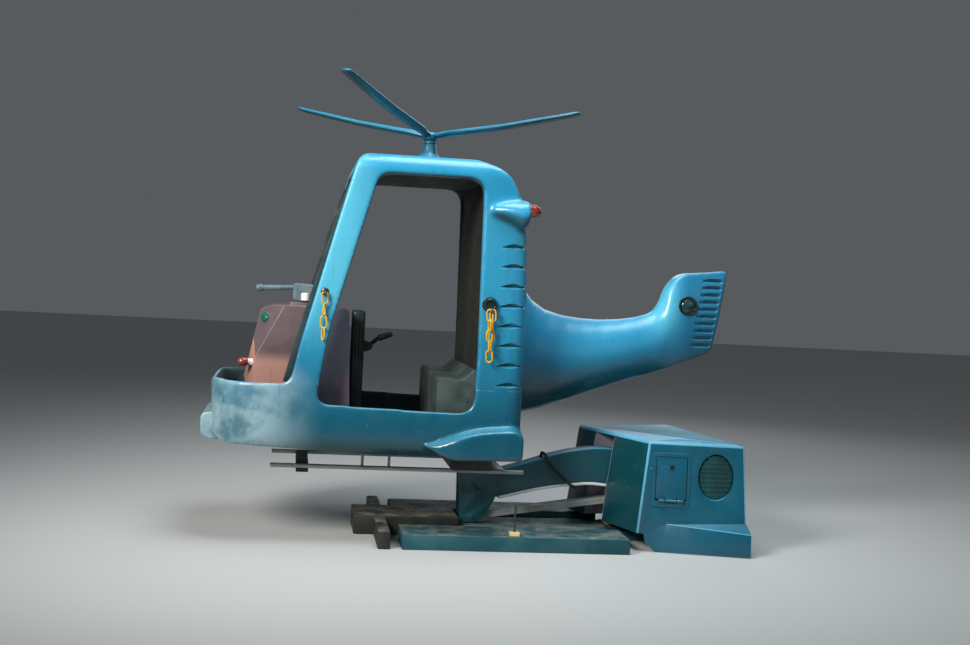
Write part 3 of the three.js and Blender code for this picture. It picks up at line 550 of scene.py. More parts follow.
def moulded_paint(name, base, faded, deep, top_light_and_chalk=0.7, grime=0.4, rough=(0.24, 0.42), left_side_shade=0.0, car=False):
    """Old glossy paint on a glass-fibre moulding: faded in patches and chalky above, streaked and grimy, with
    painted light on upward faces and painted shade lower down and on faces that look down.
    """
    f = Finish(name, base, rough, coat=0.25)
    f.patches(faded, (1.6, 3, 0.5), 0.42, 0.66, 0, 0.5)
    if car:
        # Painted light: the front pillars are paler where the light falls on them.
        f.lay((88, 184, 212), f.times(f.place("Z", 0.95, 1.5), f.place("-X", 1.75, 2.02, 0, 0.8)))
        # Painted highlight along the leading part of the fin.
        fin_front_highlight = f.times(f.place("X", -0.2, -0.04), f.place("X", -0.02, 0.08, 1.0, 0.1))
        f.lay((92, 186, 214), f.times(fin_front_highlight, f.place("Z", 1.15, 1.4, 0, 0.85)))
        # Painted shade over the rear part of the fin.
        f.lay((8, 96, 140), f.place("X", 0.03, 0.13, 0, 0.6))
        # Painted shade: the car gets darker towards the bottom.
        f.lay(deep, f.place("-Z", -1.3, -0.62, 0, 0.97))
    else:
        f.patches(deep, (2.4, 4, 0.55, 0.5), 0.52, 0.74, 0, 0.45)
    # Upward faces are paler: partly chalky fading, partly painted light from above.
    f.patches((70, 158, 194), (5, 6, 0.65), 0.30, 0.68, 0.4, top_light_and_chalk, f.facing("Z", 0.3, 0.95))
    # Painted shade on the faces that look down.
    f.patches((1, 56, 64), (5, 6, 0.6), 0.2, 0.6, 0.7, 0.95, f.facing("-Z", -0.12, 0.6))
    if car:
        # Painted sunlight on the lower nose, mixed with chalky fading.
        nose = f.times(f.place("-X", 2.05, 2.5), f.place("-Z", -1.02, -0.92))
        f.patches((150, 182, 192), (3.2, 6, 0.65), 0.34, 0.60, 0.2, 0.9, nose)
    # Painted shade on the faces that look towards -X, used on the cover.
    if left_side_shade:
        f.lay((0, 60, 64), f.facing("-X", 0.5, 0.85, 0, left_side_shade))
    f.patches((8, 66, 84), (1.0, 6, 0.65, 0, (26, 26, 1.6)), 0.55, 0.76, 0, grime)
    f.patches((150, 194, 204), (1.0, 5, 0.6, 0, (34, 34, 2.2)), 0.68, 0.84, 0, 0.25)
    f.patches((146, 192, 206), (1.0, 4, 0.55, 0, (9, 9, 130)), 0.68, 0.76, 0, 0.22)
    specks = (70, 3, 0.5)
    f.patches((190, 206, 200), specks, 0.745, 0.78, 0, 0.7)
    f.patches((20, 50, 54), (23, 8, 0.75), 0.63, 0.74, 0, grime)
    if car:
        worn_edges = f.between(f.node("NewGeometry", {})["Pointiness"], 0.515, 0.60)
        f.patches((150, 206, 222), (18, 6, 0.7), 0.42, 0.62, 0, 0.5, worn_edges)
    f.relief((2.6, 2, 0.4), 1.6)
    f.relief((240, 3, 0.6), 0.04)
    f.relief(specks, 0.1)
    return f.done()


def old_steel(name, base, worn, rust, rusty=0.6, metal=0.25):
    """Painted steel with rust coming through and dust on top."""
    f = Finish(name, base, (0.45, 0.8), metal=metal)
    blisters = (7.5, 9, 0.72, 0.4)
    f.patches(worn, (4.2, 5, 0.6), 0.42, 0.64, 0, 0.7)
    f.patches(rust, blisters, 0.55, 0.68, 0, rusty)
    f.patches((74, 44, 28), (31, 8, 0.75), 0.60, 0.70, 0, rusty)
    f.patches((158, 156, 140), (8, 8, 0.7), 0.38, 0.66, 0, 0.6, f.facing("Z", 0.5, 0.98))
    # Painted shade on the faces that look down.
    f.patches((20, 26, 26), (6, 5, 0.6), 0.2, 0.6, 0.3, 0.8, f.facing("-Z", 0.3, 0.95))
    f.relief((46, 8, 0.7), 0.5)
    f.relief(blisters, 0.8)
    return f.done()


def plain_moulding(name, base, faded, dark, rough=(0.35, 0.6), scale=1.0, bump=0.3, coat=0.0):
    """Plastic or painted trim with a little fade, grime and fine texture."""
    f = Finish(name, base, rough, coat=coat)
    f.patches(faded, (5 * scale, 5, 0.6), 0.42, 0.66, 0, 0.7)
    f.patches(dark, (17 * scale, 8, 0.7), 0.54, 0.70, 0, 0.7)
    f.patches(dark, (1.0, 6, 0.6, 0, (60 * scale, 60 * scale, 5 * scale)), 0.56, 0.74, 0, 0.45)
    f.relief((150 * scale, 5, 0.6), bump)
    return f.done()


def console_paint(name, base, pale):
    """Red moulding weathered to a mauve grey, with painted sunlight in peach and pink on its front and low
    faces, painted shade on its side and sloping faces, and painted sky light on the side behind the pillar.
    """
    f = Finish(name, base, (0.36, 0.62), coat=0.15)
    f.patches(pale, (3.4, 5, 0.6), 0.40, 0.64, 0, 0.6)
    # Painted shade on the sloping facet and the side face.
    f.lay((84, 66, 72), f.times(f.facing("-Y", 0.25, 0.4), f.facing("-Y", 0.8, 0.9, 0.7, 0)))
    f.lay((76, 60, 60), f.facing("-Y", 0.86, 0.96, 0, 0.8))
    # Painted sky light on the side behind the pillar.
    f.lay((106, 112, 130), f.times(f.facing("-Y", 0.86, 0.96), f.place("X", -2.18, -2.1, 0, 0.85)))
    # Painted sunlight: peach on the front faces and the low front, pink low at the rear.
    f.patches((200, 140, 110), (2.4, 4, 0.5), 0.2, 0.5, 0.6, 0.95, f.facing("-X", 0.86, 0.96))
    f.lay((170, 128, 116), f.times(f.place("-Z", -1.06, -0.98), f.place("-X", 2.18, 2.3, 0, 0.8)))
    low_rear_sunlight = f.times(f.place("X", -2.08, -1.93), f.place("-Z", -0.98, -0.8))
    f.patches((148, 104, 122), (9, 5, 0.6), 0.4, 0.6, 0.0, 0.9, low_rear_sunlight)
    f.patches((78, 58, 62), (19, 8, 0.7), 0.60, 0.74, 0, 0.4)
    f.patches((84, 66, 72), (1.0, 6, 0.6, 0, (40, 40, 3)), 0.58, 0.76, 0, 0.35)
    f.patches((170, 152, 150), (1.0, 4, 0.5, 0, (12, 12, 70)), 0.70, 0.78, 0, 0.3)
    f.patches((190, 176, 170), (70, 3, 0.5), 0.73, 0.77, 0, 0.5)
    f.relief((180, 4, 0.6), 0.12)
    f.relief((6, 2, 0.4), 1.0)
    return f.done()


FINISHES = (
    # how it is made, then each name with its three colours and what else differs
    (moulded_paint, {
        "body_blue_paint": ((34, 136, 178), (56, 156, 194), (0, 76, 96), 0.7, 0.4, (0.24, 0.42), 0, True),
        "rotor_blue_paint": ((18, 88, 116), (34, 112, 138), (8, 62, 84)),
        # The arm and cover blues are darker: partly their own paint, partly painted shade.
        "arm_blue_paint": ((4, 72, 84), (12, 90, 100), (1, 48, 56), 0.7, 0.6, (0.34, 0.6)),
        "arm_edge_paint": ((30, 104, 118), (80, 146, 156), (10, 66, 78), 0.7, 0.5, (0.4, 0.6)),
        "cover_blue_paint": ((2, 84, 108), (6, 96, 122), (1, 66, 86), 0.65, 0.5, (0.3, 0.5), 0.85),
        # Pale rounded edges of the cover: partly worn paint, partly painted highlight.
        "cover_edge_paint": ((84, 160, 190), (140, 198, 216), (34, 118, 150), 1.0, 0.3, (0.35, 0.55)),
    }),
    (old_steel, {
        "cabin_floor_sheet": ((40, 48, 48), (64, 72, 68), (70, 52, 38)),
        "base_steel_paint": ((20, 78, 90), (46, 98, 104), (92, 62, 42)),
        "under_steel": ((34, 38, 38), (58, 62, 58), (82, 56, 38)),
        "pale_steel": ((138, 148, 146), (168, 176, 170), (118, 84, 58), 0.45, 0.15),
    }),
    (plain_moulding, {
        # Brown lining darkened to near black: partly its own colour, partly painted shade.
        "cabin_lining": ((18, 21, 11), (32, 30, 18), (7, 9, 5), (0.6, 0.9), 1, 0.6),
        # Painted shade: near black for the inner faces of the pillars and their flanges.
        "screen_flange": ((2, 34, 40), (12, 52, 58), (1, 18, 22), (0.5, 0.8)),
        "well_lining": ((40, 62, 70), (78, 96, 98), (16, 26, 28), (0.5, 0.8), 1, 0.5),
        "console_edge_moulding": ((140, 116, 118), (178, 152, 148), (92, 72, 74), (0.36, 0.6), 2),
        "column_moulding": ((18, 42, 38), (38, 60, 54), (8, 14, 13)),
        "gun_grey_plastic": ((84, 104, 116), (118, 138, 146), (46, 60, 66), (0.35, 0.6), 2),
        "seat_moulding": ((40, 56, 54), (66, 80, 76), (18, 28, 26), (0.5, 0.75), 1, 0.5),
        "chain_plastic": ((206, 156, 8), (220, 176, 40), (122, 84, 6), (0.35, 0.6), 4),
        "boss_moulding": ((12, 36, 32), (34, 58, 52), (5, 10, 10), (0.2, 0.4), 3, 0.3, 0.5),
        "vent_moulding": ((2, 62, 66), (14, 82, 86), (1, 40, 44), (0.45, 0.7), 2),
        "lamp_lens": ((128, 34, 30), (150, 84, 70), (70, 12, 12), (0.12, 0.3), 4, 0.1, 0.6),
        "tail_lens": ((14, 40, 44), (44, 74, 78), (4, 12, 14), (0.08, 0.22), 3, 0.1, 0.8),
        "button_plastic": ((6, 88, 62), (26, 118, 86), (3, 44, 32), (0.2, 0.4), 4),
        "knob_plastic": ((216, 218, 212), (236, 236, 228), (140, 132, 112), (0.35, 0.6), 4),
        "hose_rubber": ((24, 26, 28), (54, 54, 52), (10, 10, 10), (0.6, 0.85), 4),
        # Painted light: pale mauve stands for sunlight on the far wall of the slot.
        "cover_cheek_moulding": ((146, 142, 158), (172, 168, 180), (96, 92, 104), (0.5, 0.75)),
        "stop_block_moulding": ((208, 192, 120), (226, 216, 168), (130, 112, 60), (0.35, 0.6), 3),
    }),
    (console_paint, {"console_red_moulding": ((96, 84, 92), (112, 94, 104))}),
)


def make_finishes():
    for maker, rows in FINISHES:
        for name, values in rows.items():
            PAINT[name] = maker(name, *values)


# The car's body
HALF = 560
REAR_CORNER = 130
REAR_WALL = -1212.5
TUB_TOP = 0.897
SIDE = [
    (-2700, 903, 40), (-2668, 552, 90), (-1700, 500, 120), (-962, 500, 60), (-950, 740, 40),
    (-952, 1400, 60), (-982, 1800, 80), (-1020, 1990, 80), (-1100, 2130, 110), (-1300, 2200, 90),
    (-1500, 2232, 100), (-1880, 2200, 50), (-1940, 2160, 45), (-2028, 1832, 40), (-2153, 1340, 80),
    (-2208, 1130, 80), (-2258, 893, 60), (-2440, 893, 60),
]
REAR_EDGE = [(z, x) for x, z, _ in SIDE[3:7]]
DOOR = [
    (-2112, 788, 80), (-2053, 1199, 60), (-1818, 2077, 70), (-1235, 2077, 100), (-1223, 1069, 60),
    (-1235, 762, 100),
]
NOTCHES = [1711 - 111 * i for i in range(8)]
NOTCH_FRONT, NOTCH_DEPTH, NOTCH_SLOPE = -1108, 22, 19
LOUVRE_DEEPEST = 0.35  # how far down a louvre's lower half its deepest line lies
POD_LAMP_HEIGHT = 1912
SHADED_LINING, WELL, PILLAR_SHADE = 1, 2, 3


def outer_form():
    form = slab("cabin", SIDE, "side", -HALF, HALF)
    keep_common(form, slab("plan", [
        (-2700, -HALF, 330), (-940, -HALF, REAR_CORNER), (-940, HALF, REAR_CORNER), (-2700, HALF, 330)],
        "plan", 400, 2400, 10))
    return keep_common(form, slab("front", [
        (-HALF, 500, 150), (HALF, 500, 150), (HALF, 2181, 90), (0, 2232, 300), (-HALF, 2181, 90)],
        "front", -2800, -750, 8))


def inner_hollow():
    """The cabin's inside: a deep well in the tub and a narrower space between the pillars."""
    well = slab("well", [
        (-2668, 1000), (-2640, 590, 90), (REAR_WALL, 585, 12), (REAR_WALL, 905), (-2335, 905, 30),
        (-2365, 1000)], "side", -530, 530)
    keep_common(well, slab("well_plan", [
        (-2668, -530, 300), (-1200, -530), (-1200, 530), (-2668, 530, 300)], "plan", 500, 1100, 10))
    return weld_on(well, slab("space", [
        (-490, 880, 20), (490, 880, 20), (490, 2077, 90), (-490, 2077, 90)], "front", -2345, REAR_WALL))


def rear_edge(z):
    """Where the rear of the cabin lies at a height."""
    for (z0, x0), (z1, x1) in zip(REAR_EDGE, REAR_EDGE[1:]):
        if z <= z1:
            return x0 + (x1 - x0) * (z - z0) / (z1 - z0)


def louvre_cut(plan, z, above, below, inner, shift):
    """A cut whose back slopes inwards on the way down, then out again to a lip that catches the light."""
    deepest = z - below * LOUVRE_DEEPEST
    cut = slab("louvre", plan, "plan", z - below, z + above, 8)
    edit(cut, "SELECT")
    bpy.ops.mesh.bisect(plane_co=mm(0, 0, deepest), plane_no=(0, 0, 1))
    shift_points(cut, lambda p: abs(p.z * 1000 - deepest) > 1 and inner(p.x * 1000, p.y * 1000), mm(*shift))
    return soften(cut, 2.5, 3, 30)


def corner_notch(z):
    """A cut round the near rear corner that fades out in front."""
    rear, back = rear_edge(z), -HALF + NOTCH_DEPTH
    plan = [
        (NOTCH_FRONT - 18, -600), (rear + 40, -600), (rear + 40, -400), (rear - NOTCH_DEPTH, -400),
        (rear - NOTCH_DEPTH, back, REAR_CORNER), (NOTCH_FRONT + 36, back, 40), (NOTCH_FRONT - 18, -HALF - 1)]
    return louvre_cut(plan, z, 16, 17, lambda x, y: y > -HALF + 2 and x < rear - 2,
                      (NOTCH_SLOPE, -NOTCH_SLOPE, 0))


def pillar_step():
    """The front edge of each pillar steps in a little along a line beside it."""
    return both_sides(slab("step", [
        (-1934, 2110), (-2009, 1832, 40), (-2134, 1340, 80), (-2188, 1130, 80), (-2228, 930, 30),
        (-2290, 906), (-2400, 906), (-2300, 1300), (-2120, 2110)], "side", -580, -557), "step")


def shade_flanges():
    """A thin dark flange along the inner front edge of each pillar: a sheet that stands in for the shade on
    the pillars' inner faces.
    """
    near = slab("flange", [
        (-2296, 900), (-2240, 1130, 60), (-2182, 1340, 60), (-2044, 1832), (-1960, 2090), (-1900, 2090),
        (-2000, 1832), (-2110, 1340), (-2160, 1130), (-2210, 900)], "side", -504, -492)
    return coats(both_sides(soften(near, 3, 2), "flange"), "screen_flange")


def line_inside(shell):
    """The brown lining of roof and bulkhead, darkened as painted shade, the inner sides of the pillars
    painted dark as shade, and the dull tub.
    """
    areas = (
        # The roof's underside and the bulkhead: lining darkened as painted shade.
        (SHADED_LINING, lambda c, n: abs(c.y) < 0.492 and -2.0 < c.x < -1.2 and c.z > 1.95 and n.z < -0.55
            or c.x > -1.26 and c.x < -1.2 and abs(c.y) < 0.53 and n.x < -0.5),
        # Painted shade: the inner faces of the pillars are painted dark.
        (PILLAR_SHADE, lambda c, n: c.z > 0.93 and c.x < -1.7 and abs(c.y) < 0.52 and n.y * c.y < -0.2),
        (WELL, lambda c, n: 0.56 < c.z < 0.93 and abs(c.y) < 0.545 and -2.69 < c.x < -1.2
            and (n.z > 0.3 and c.z < 0.7 or n.y * c.y < -0.02 or c.x < -2.5 and n.x > 0.4)),
    )
    edit(shell)
    for slot, test in areas:
        pick(shell, "FACE", lambda face: test(face.calc_center_median(), face.normal))
        shell.active_material_index = slot
        bpy.ops.object.material_slot_assign()
    let_go()


def sponson_form():
    """A pointed step fairing low on the side, with a sloping ledge along its top."""
    form = slab("sponson", [
        (-1507, 578, 10), (-1333, 668, 60), (-1200, 708, 80), (-1000, 724, 40), (-948, 690, 20),
        (-950, 514, 20), (-1360, 502, 60)], "side", -638, -470, 5)
    shift_points(form, lambda p: p.y < -0.63 and p.z > 0.6, mm(0, 0, -42))
    return carve(form, slab("point_cut", [
        (-1600, -700), (-1290, -662), (-1300, -642), (-1420, -612), (-1520, -562), (-1600, -556)],
        "plan", 400, 800))


def pod_form():
    """The exhaust fairing, blunt in front, with the seat of its lamp behind."""
    pod = lofted("pod", [
        (-1194, 1908, 8, 8), (-1186, 1908, 28, 22), (-1168, 1908, 40, 33), (-1120, 1907, 60, 48),
        (-1070, 1901, 78, 63), (-1015, 1884, 92, 83), (-985, 1896, 92, 74), (-976, 1898, 86, 68)], 32)
    pod.location = mm(0, -HALF + 10, 0)
    return weld_on(settle(pod), turned("lamp_seat", [(0, -40), (47, -40), (47, 3), (0, 3)], "X",
                                       (-978, -HALF - 28, POD_LAMP_HEIGHT)))


def make_shell():
    shell = outer_form()
    for fairing in (sponson_form(), pod_form()):
        weld_on(shell, mirrored(fairing, "far_fairing"))
        weld_on(shell, fairing)
    carve(shell, inner_hollow())
    carve(shell, slab("door", DOOR, "side", -800, 800, 8))
    moulded(shell, 9.0, 20)
    carve(shell, both_sides(join("notches", *[corner_notch(z) for z in NOTCHES]), "notches"))
    carve(shell, pillar_step())
    coats(shell, "body_blue_paint", "cabin_lining", "well_lining", "screen_flange")
    line_inside(shell)
    upper = copied(shell, "cabin_upper")
    for piece, is_upper in ((shell, False), (upper, True)):
        edit(piece, "SELECT")
        bpy.ops.mesh.bisect(plane_co=(0, 0, TUB_TOP), plane_no=(0, 0, 1), use_fill=True,
                            clear_inner=is_upper, clear_outer=not is_upper)
        let_go()
    upper = join("cabin_upper", upper, shade_flanges())
    shell.name = shell.data.name = "cabin_tub"
    dress(shell, "car", None, "body_blue", "hull_tub", "sponson_left", "sponson_right", angle=38)
    dress(upper, "car", None, "body_blue", "front_pillar_left", "front_pillar_right", "roof_shell",
          "rear_cowl", "exhaust_pod_left", "exhaust_pod_right", angle=38)
    lamp = turned("pod_lamp_near", [
        (0, -8), (39, -8), (40, 2), (38, 6), (37, 26), (32, 42), (22, 56), (10, 63), (0, 65)],
        "X", (-979.5, -HALF - 28, POD_LAMP_HEIGHT), 36)
    for piece, side in ((lamp, "left"), (mirrored(lamp, "pod_lamp_far"), "right")):
        dress(piece, "car", "lamp_lens", "lamp_red", "exhaust_lamp_" + side, angle=35)


def make_nose():
    nose = slab("nose_pod", [(-2750, 694, 46), (-2742, 548, 46), (-2640, 540, 10), (-2640, 702, 10)],
                "side", -308, 308)
    moulded(soften(nose, 26, 4), 6, 9)
    dress(nose, "car", "body_blue_paint", "body_blue", "nose_bumper", angle=60)


# The tail
TAIL = [
    (-1000, 1120, 306, 446), (-930, 1112, 276, 414), (-885, 1096, 254, 374), (-840, 1076, 238, 338),
    (-760, 1060, 222, 300), (-650, 1066, 203, 264), (-534, 1081, 184, 236), (-420, 1100, 165, 214),
    (-300, 1126, 146, 196), (-190, 1154, 130, 186), (-120, 1174, 121, 190), (-75, 1196, 116, 206),
    (-40, 1226, 114, 236), (-8, 1284, 112, 300), (30, 1326, 109, 334), (80, 1342, 104, 334),
    (150, 1358, 96, 326), (220, 1376, 85, 316), (300, 1394, 67, 304), (384, 1412, 47, 294),
]
TAIL_OUTLINE = [
    (-1100, 560), (-320, 850), (-105, 998, 60), (284, 1138, 34), (368, 1650, 26), (250, 1634, 60),
    (64, 1618, 60), (-4, 1540, 90), (-68, 1388, 60), (-150, 1343, 60), (-300, 1420), (-1100, 1720),
]
HUB = (107, 0, 1423)
HUB_STEPS = 56
FIN_NOTCHES = [(224 - 6.6 * i, 1583 - 43.9 * i) for i in range(10)]
FIN_NOTCH = [(-26, 2), (12, -16, 16), (52, -17), (100, -16, 16), (114, 4), (114, 60), (-26, 60)]


def tail_face(x, z):
    """How far out the tail's skin lies at a place on its side."""
    for (x0, z0, w0, h0), (x1, z1, w1, h1) in zip(TAIL, TAIL[1:]):
        if x0 <= x <= x1:
            t = (x - x0) / (x1 - x0)
            middle, wide, tall = z0 + (z1 - z0) * t, w0 + (w1 - w0) * t, h0 + (h1 - h0) * t
            return wide * math.sqrt(max(0.05, 1 - ((z - middle) / tall) ** 2))
    return TAIL[-1][2]


def fin_notch(x, z):
    """A shallow cut beside the fin's rear edge, which follows the fin's side."""
    plan = [(x + row[0], -tail_face(x + max(0, row[0]), z) - row[1], *row[2:]) for row in FIN_NOTCH]
    return louvre_cut(plan, z, 15, 16, lambda _, y: y > plan[0][1] + 3, (0, -14, 0))


def make_tail():
    tail = lofted("tail", TAIL, 56)
    keep_common(tail, slab("tail_outline", TAIL_OUTLINE, "side", -400, 400, 8))
    moulded(tail, 7.5, 24)
    carve(tail, both_sides(join("fin_notches", *[fin_notch(*place) for place in FIN_NOTCHES]), "fin_notches"))
    carve(tail, turned("hub_hole", [(0, -200), (57, -200), (57, 200), (0, 200)], "Y", HUB, HUB_STEPS))
    dress(tail, "car", "body_blue_paint", "body_blue", "tail_boom", "tail_fin")


def make_fin_hub():
    """A dark round lens in a dark ring on both faces of the fin."""
    ring = turned("hub_ring", [
        (0, 60), (56.5, 60), (56.5, 96), (60, 98), (60, 102), (56, 108), (50, 109), (46, 104), (45, 98),
        (0, 98)], "Y", HUB, HUB_STEPS)
    lens = turned("hub_lens", [
        (0, 98.2), (44.6, 98.2), (43, 102), (34, 107), (18, 110.5), (0, 111.5)], "Y", HUB, HUB_STEPS)
    dress(both_sides(ring, "fin_hub_ring"), "car", "boss_moulding", "dark_metal", "fin_hub")
    dress(both_sides(lens, "fin_hub_lens"), "car", "tail_lens", "dark_metal")


# The rotor
ROTOR = (-1502, 0, 0)
BLADE_HEIGHT = 2348
BLADES = (("rear", -35.5, 7.5), ("far", 144.5, 10.5), ("near", 234.5, 14.7))
BLADE = [
    (31, 0, 24, 15), (40, 0, 27, 17), (90, 1, 30, 18), (130, 2, 40, 19), (320, -4, 41, 18.5),
    (500, -8, 40, 17), (720, -4, 39, 15.5), (907, 0, 37, 14), (948, 2.6, 33, 11.5), (963, 3.7, 27, 9),
    (967, 4, 18, 6),
]
HUB_CAP = [
    (0, 2322.5), (33, 2322.5), (35, 2326), (41, 2334), (42, 2340), (42, 2358), (39, 2365), (30, 2371),
    (24, 2374.5), (12, 2376), (0, 2376),
]
MAST = [
    (0, 2226), (70, 2226), (62, 2234), (52, 2240), (46, 2252), (40, 2276), (36, 2298), (33, 2306),
    (38, 2309), (38, 2316), (33, 2319), (32, 2322), (0, 2322),
]


def make_rotor():
    """One grooved blade is modelled and copied to its three places. The fourth place is empty."""
    first = lofted("blade", BLADE, 24)
    carve(first, slab("groove", [(150, -3), (880, -3), (886, 0), (880, 3), (150, 3), (144, 0)],
                      "plan", 12, 40))
    apply(first, "BEVEL", width=0.0015, segments=2, limit_method="ANGLE", angle_limit=math.radians(50))
    for name, bearing, cone in BLADES:
        blade = placed(copied(first, "blade_" + name), (
            Matrix.Translation(mm(ROTOR[0], 0, BLADE_HEIGHT))
            @ Matrix.Rotation(math.radians(bearing), 4, "Z")
            @ Matrix.Rotation(-math.radians(cone), 4, "Y")))
        dress(blade, "rotor", "rotor_blue_paint", "body_blue", "rotor_blade_" + name, angle=45)
    bpy.data.objects.remove(first)
    for name, profile, body, node in (("hub_cap", HUB_CAP, "rotor", "rotor_hub"),
                                      ("mast", MAST, "car", "rotor_mast")):
        dress(turned(name, profile, "Z", ROTOR), body, "rotor_blue_paint", "body_blue", node, angle=35)


# The cockpit
def make_column():
    """The hollow post behind the console, with its slots and the ears that hold the lever."""
    column = block("column", (-1908, -1837), (-119, 119), (593, 1299), 12)
    slots = [block("slot", (-1850, -1800), (y - 5, y + 5), (1130, 1262), 3, 2) for y in (-90, -64, 64, 90)]
    sides = [block("side_slot", (x - 5, x + 5), (-160, -113), (1010, 1240), 3, 2)
             for x in (-1893, -1873, -1853)]
    carve(column, join("slots", *slots, *sides))
    ears = [slab("ear", [(-1850, 1052), (-1790, 1070, 10), (-1790, 1110, 10), (-1850, 1128)],
                 "side", y, y + 12) for y in (-34, 22)]
    pin = turned("ear_pin", [
        (0, -42), (11, -42), (11, -35), (9, -34), (9, 34), (11, 35), (11, 42), (0, 42)],
        "Y", (-1808, 0, 1090), 24)
    column = soften(join("control_post", column, *ears, pin), 1.5, 2, 40)
    dress(column, "car", "column_moulding", "dark_metal", "control_column")


def make_gun():
    receiver = slab("receiver", [(-2262, 1337, 24), (-2140, 1337, 8), (-2126, 1434, 12), (-2262, 1439, 10)],
                    "side", -27, 27, 4)
    soften(receiver, 6, 3)
    sight = slab("sight", [(-2250, 1434, 4), (-2150, 1430, 4), (-2150, 1438, 4), (-2250, 1443, 4)],
                 "side", -9, 9, 3)
    soften(sight, 2, 2)
    barrel = placed(turned("barrel", [
        (0, -12), (14, -12), (14.5, 6), (14, 12), (14.5, 60), (15.5, 128), (16, 166), (17.5, 180),
        (21, 188), (22, 194), (22, 208), (20.5, 216), (18, 219), (13, 219), (11, 170), (0, 170)], steps=28),
        Matrix.Translation(mm(-2258, 0, 1416.5)) @ Matrix.Rotation(math.radians(-93.7), 4, "Y"))
    dress(join("play_gun", receiver, sight, barrel), "gun", "gun_grey_plastic", "gun_grey", "mock_gun")


FITTINGS = (
    # place and outward direction, then each turned piece: name, profile, finish, slot, solid
    ((-2409.5, -266, 1240), (-0.6605, -0.6725, 0.3346), (
        ("button_ring", [(27.6, 0.5), (31.5, 0.5), (32, 3), (30.5, 5), (28.4, 5), (27.6, 3), (27.6, 0.5)],
         "gun_grey_plastic", "gun_grey"),
        ("button", [(0, 0.6), (27.3, 0.6), (27.3, 9), (25, 14), (17, 17.4), (0, 18)],
         "button_plastic", "button_green", "fire_button"))),
    ((-2191, -112, 1330), (0, 0, 1), (
        ("knob_foot", [(0, 0.5), (19, 0.5), (19, 3), (15.5, 5), (15.5, 12.5), (0, 12.5)],
         "hose_rubber", "knob_white"),
        ("knob", [(0, 12.5), (21, 12.5), (24, 14.5), (24.5, 20), (24.5, 50), (23, 56), (19, 58.4), (0, 58.8)],
         "knob_plastic", "knob_white", "selector_knob"))),
    ((-2473, -286, 985), (-0.9487, -0.311, 0.0566), (
        ("lamp_collar", [(0, 0.5), (20.5, 0.5), (20.5, 14), (19.5, 15.5), (20.5, 17), (20.5, 32), (19, 34),
                         (0, 34)], "knob_plastic", "gun_grey"),
        ("lamp_dome", [(0, 33), (24, 33), (24.6, 37), (24.6, 50), (23, 62), (18, 74), (10, 82), (0, 84.5)],
         "lamp_lens", "lamp_red", "console_lamp"))),
)


def make_cockpit():
    box = part_copy("console_box", "console", 12, 3, 30, "console_red_moulding", "console_edge_moulding")
    dress(box, "car", None, "console_red", "console_box", angle=45)
    make_column()
    lever = part_copy("control_lever", "lever", 2.0, 2, 30)
    dress(lever, "lever", "hose_rubber", "dark_metal", "control_lever", angle=45)
    make_gun()
    for place, outward, pieces in FITTINGS:
        turn = Vector((0, 0, 1)).rotation_difference(Vector(outward).normalized()).to_matrix().to_4x4()
        made = [placed(turned(row[0], row[1]), Matrix.Translation(mm(*place)) @ turn) for row in pieces]
        for piece, row in zip(made, pieces):
            dress(piece, "car", *row[2:], angle=35)
    seat = part_copy("seat_bench", "seat", 14, 4, 30)
    dress(seat, "car", "seat_moulding", "seat_grey", "seat_bench", angle=45)


# The door chains
LINK_RADIUS, LINK_WIRE, LINK_STRETCH = 0.0165, 0.0048, 0.016
RUNS = (
    # where, half width, top, solid, strands as (x, lean), links in each, pitch
    ("front", 590, 1374, "pillar_chain", [(-2090, 0)], 4, 66),
    ("rear", 606, 1322, "rear_chain", [(-1176, 1), (-1158, -1)], 5, 57),
)
ANCHORS = {
    # name, profile of the plate or boss, its place and steps, hook's path and radius
    "front": ("chain_hook", [
        (0, 554), (22, 554), (22, 562), (18, 566), (8, 568), (8, 596), (6, 600), (0, 600)],
        (-2090, 0, 1410), 28, [
        (-2090, -592, 1412), (-2090, -604, 1400), (-2090, -600, 1386), (-2090, -590, 1384),
        (-2090, -582, 1394)], 5),
    "rear": ("chain_boss", [
        (0, 554), (44, 554), (44, 564), (40, 572), (36, 586), (30, 592), (26, 592), (24, 586), (12, 585),
        (0, 585)], (-1172, 0, 1380), 36, [
        (-1166, -580, 1364), (-1166, -604, 1360), (-1166, -616, 1346), (-1166, -612, 1332),
        (-1166, -602, 1330), (-1166, -596, 1340)], 6),
}


def chain_anchor(where, side, tag):
    """The hook in front, or the round boss with its hook behind the doorway."""
    name, profile, place, steps, path, radius = ANCHORS[where]
    plate = turned("anchor", profile, "Y", place, steps)
    take(round_rod("rod", eased(path, 5), radius))
    bpy.ops.object.convert(target="MESH")
    piece = join(f"{name}_{tag}", plate, outwards(bpy.context.active_object))
    if side > 0:
        far = mirrored(piece, piece.name + "_far")
        bpy.data.objects.remove(piece)
        return far
    return piece


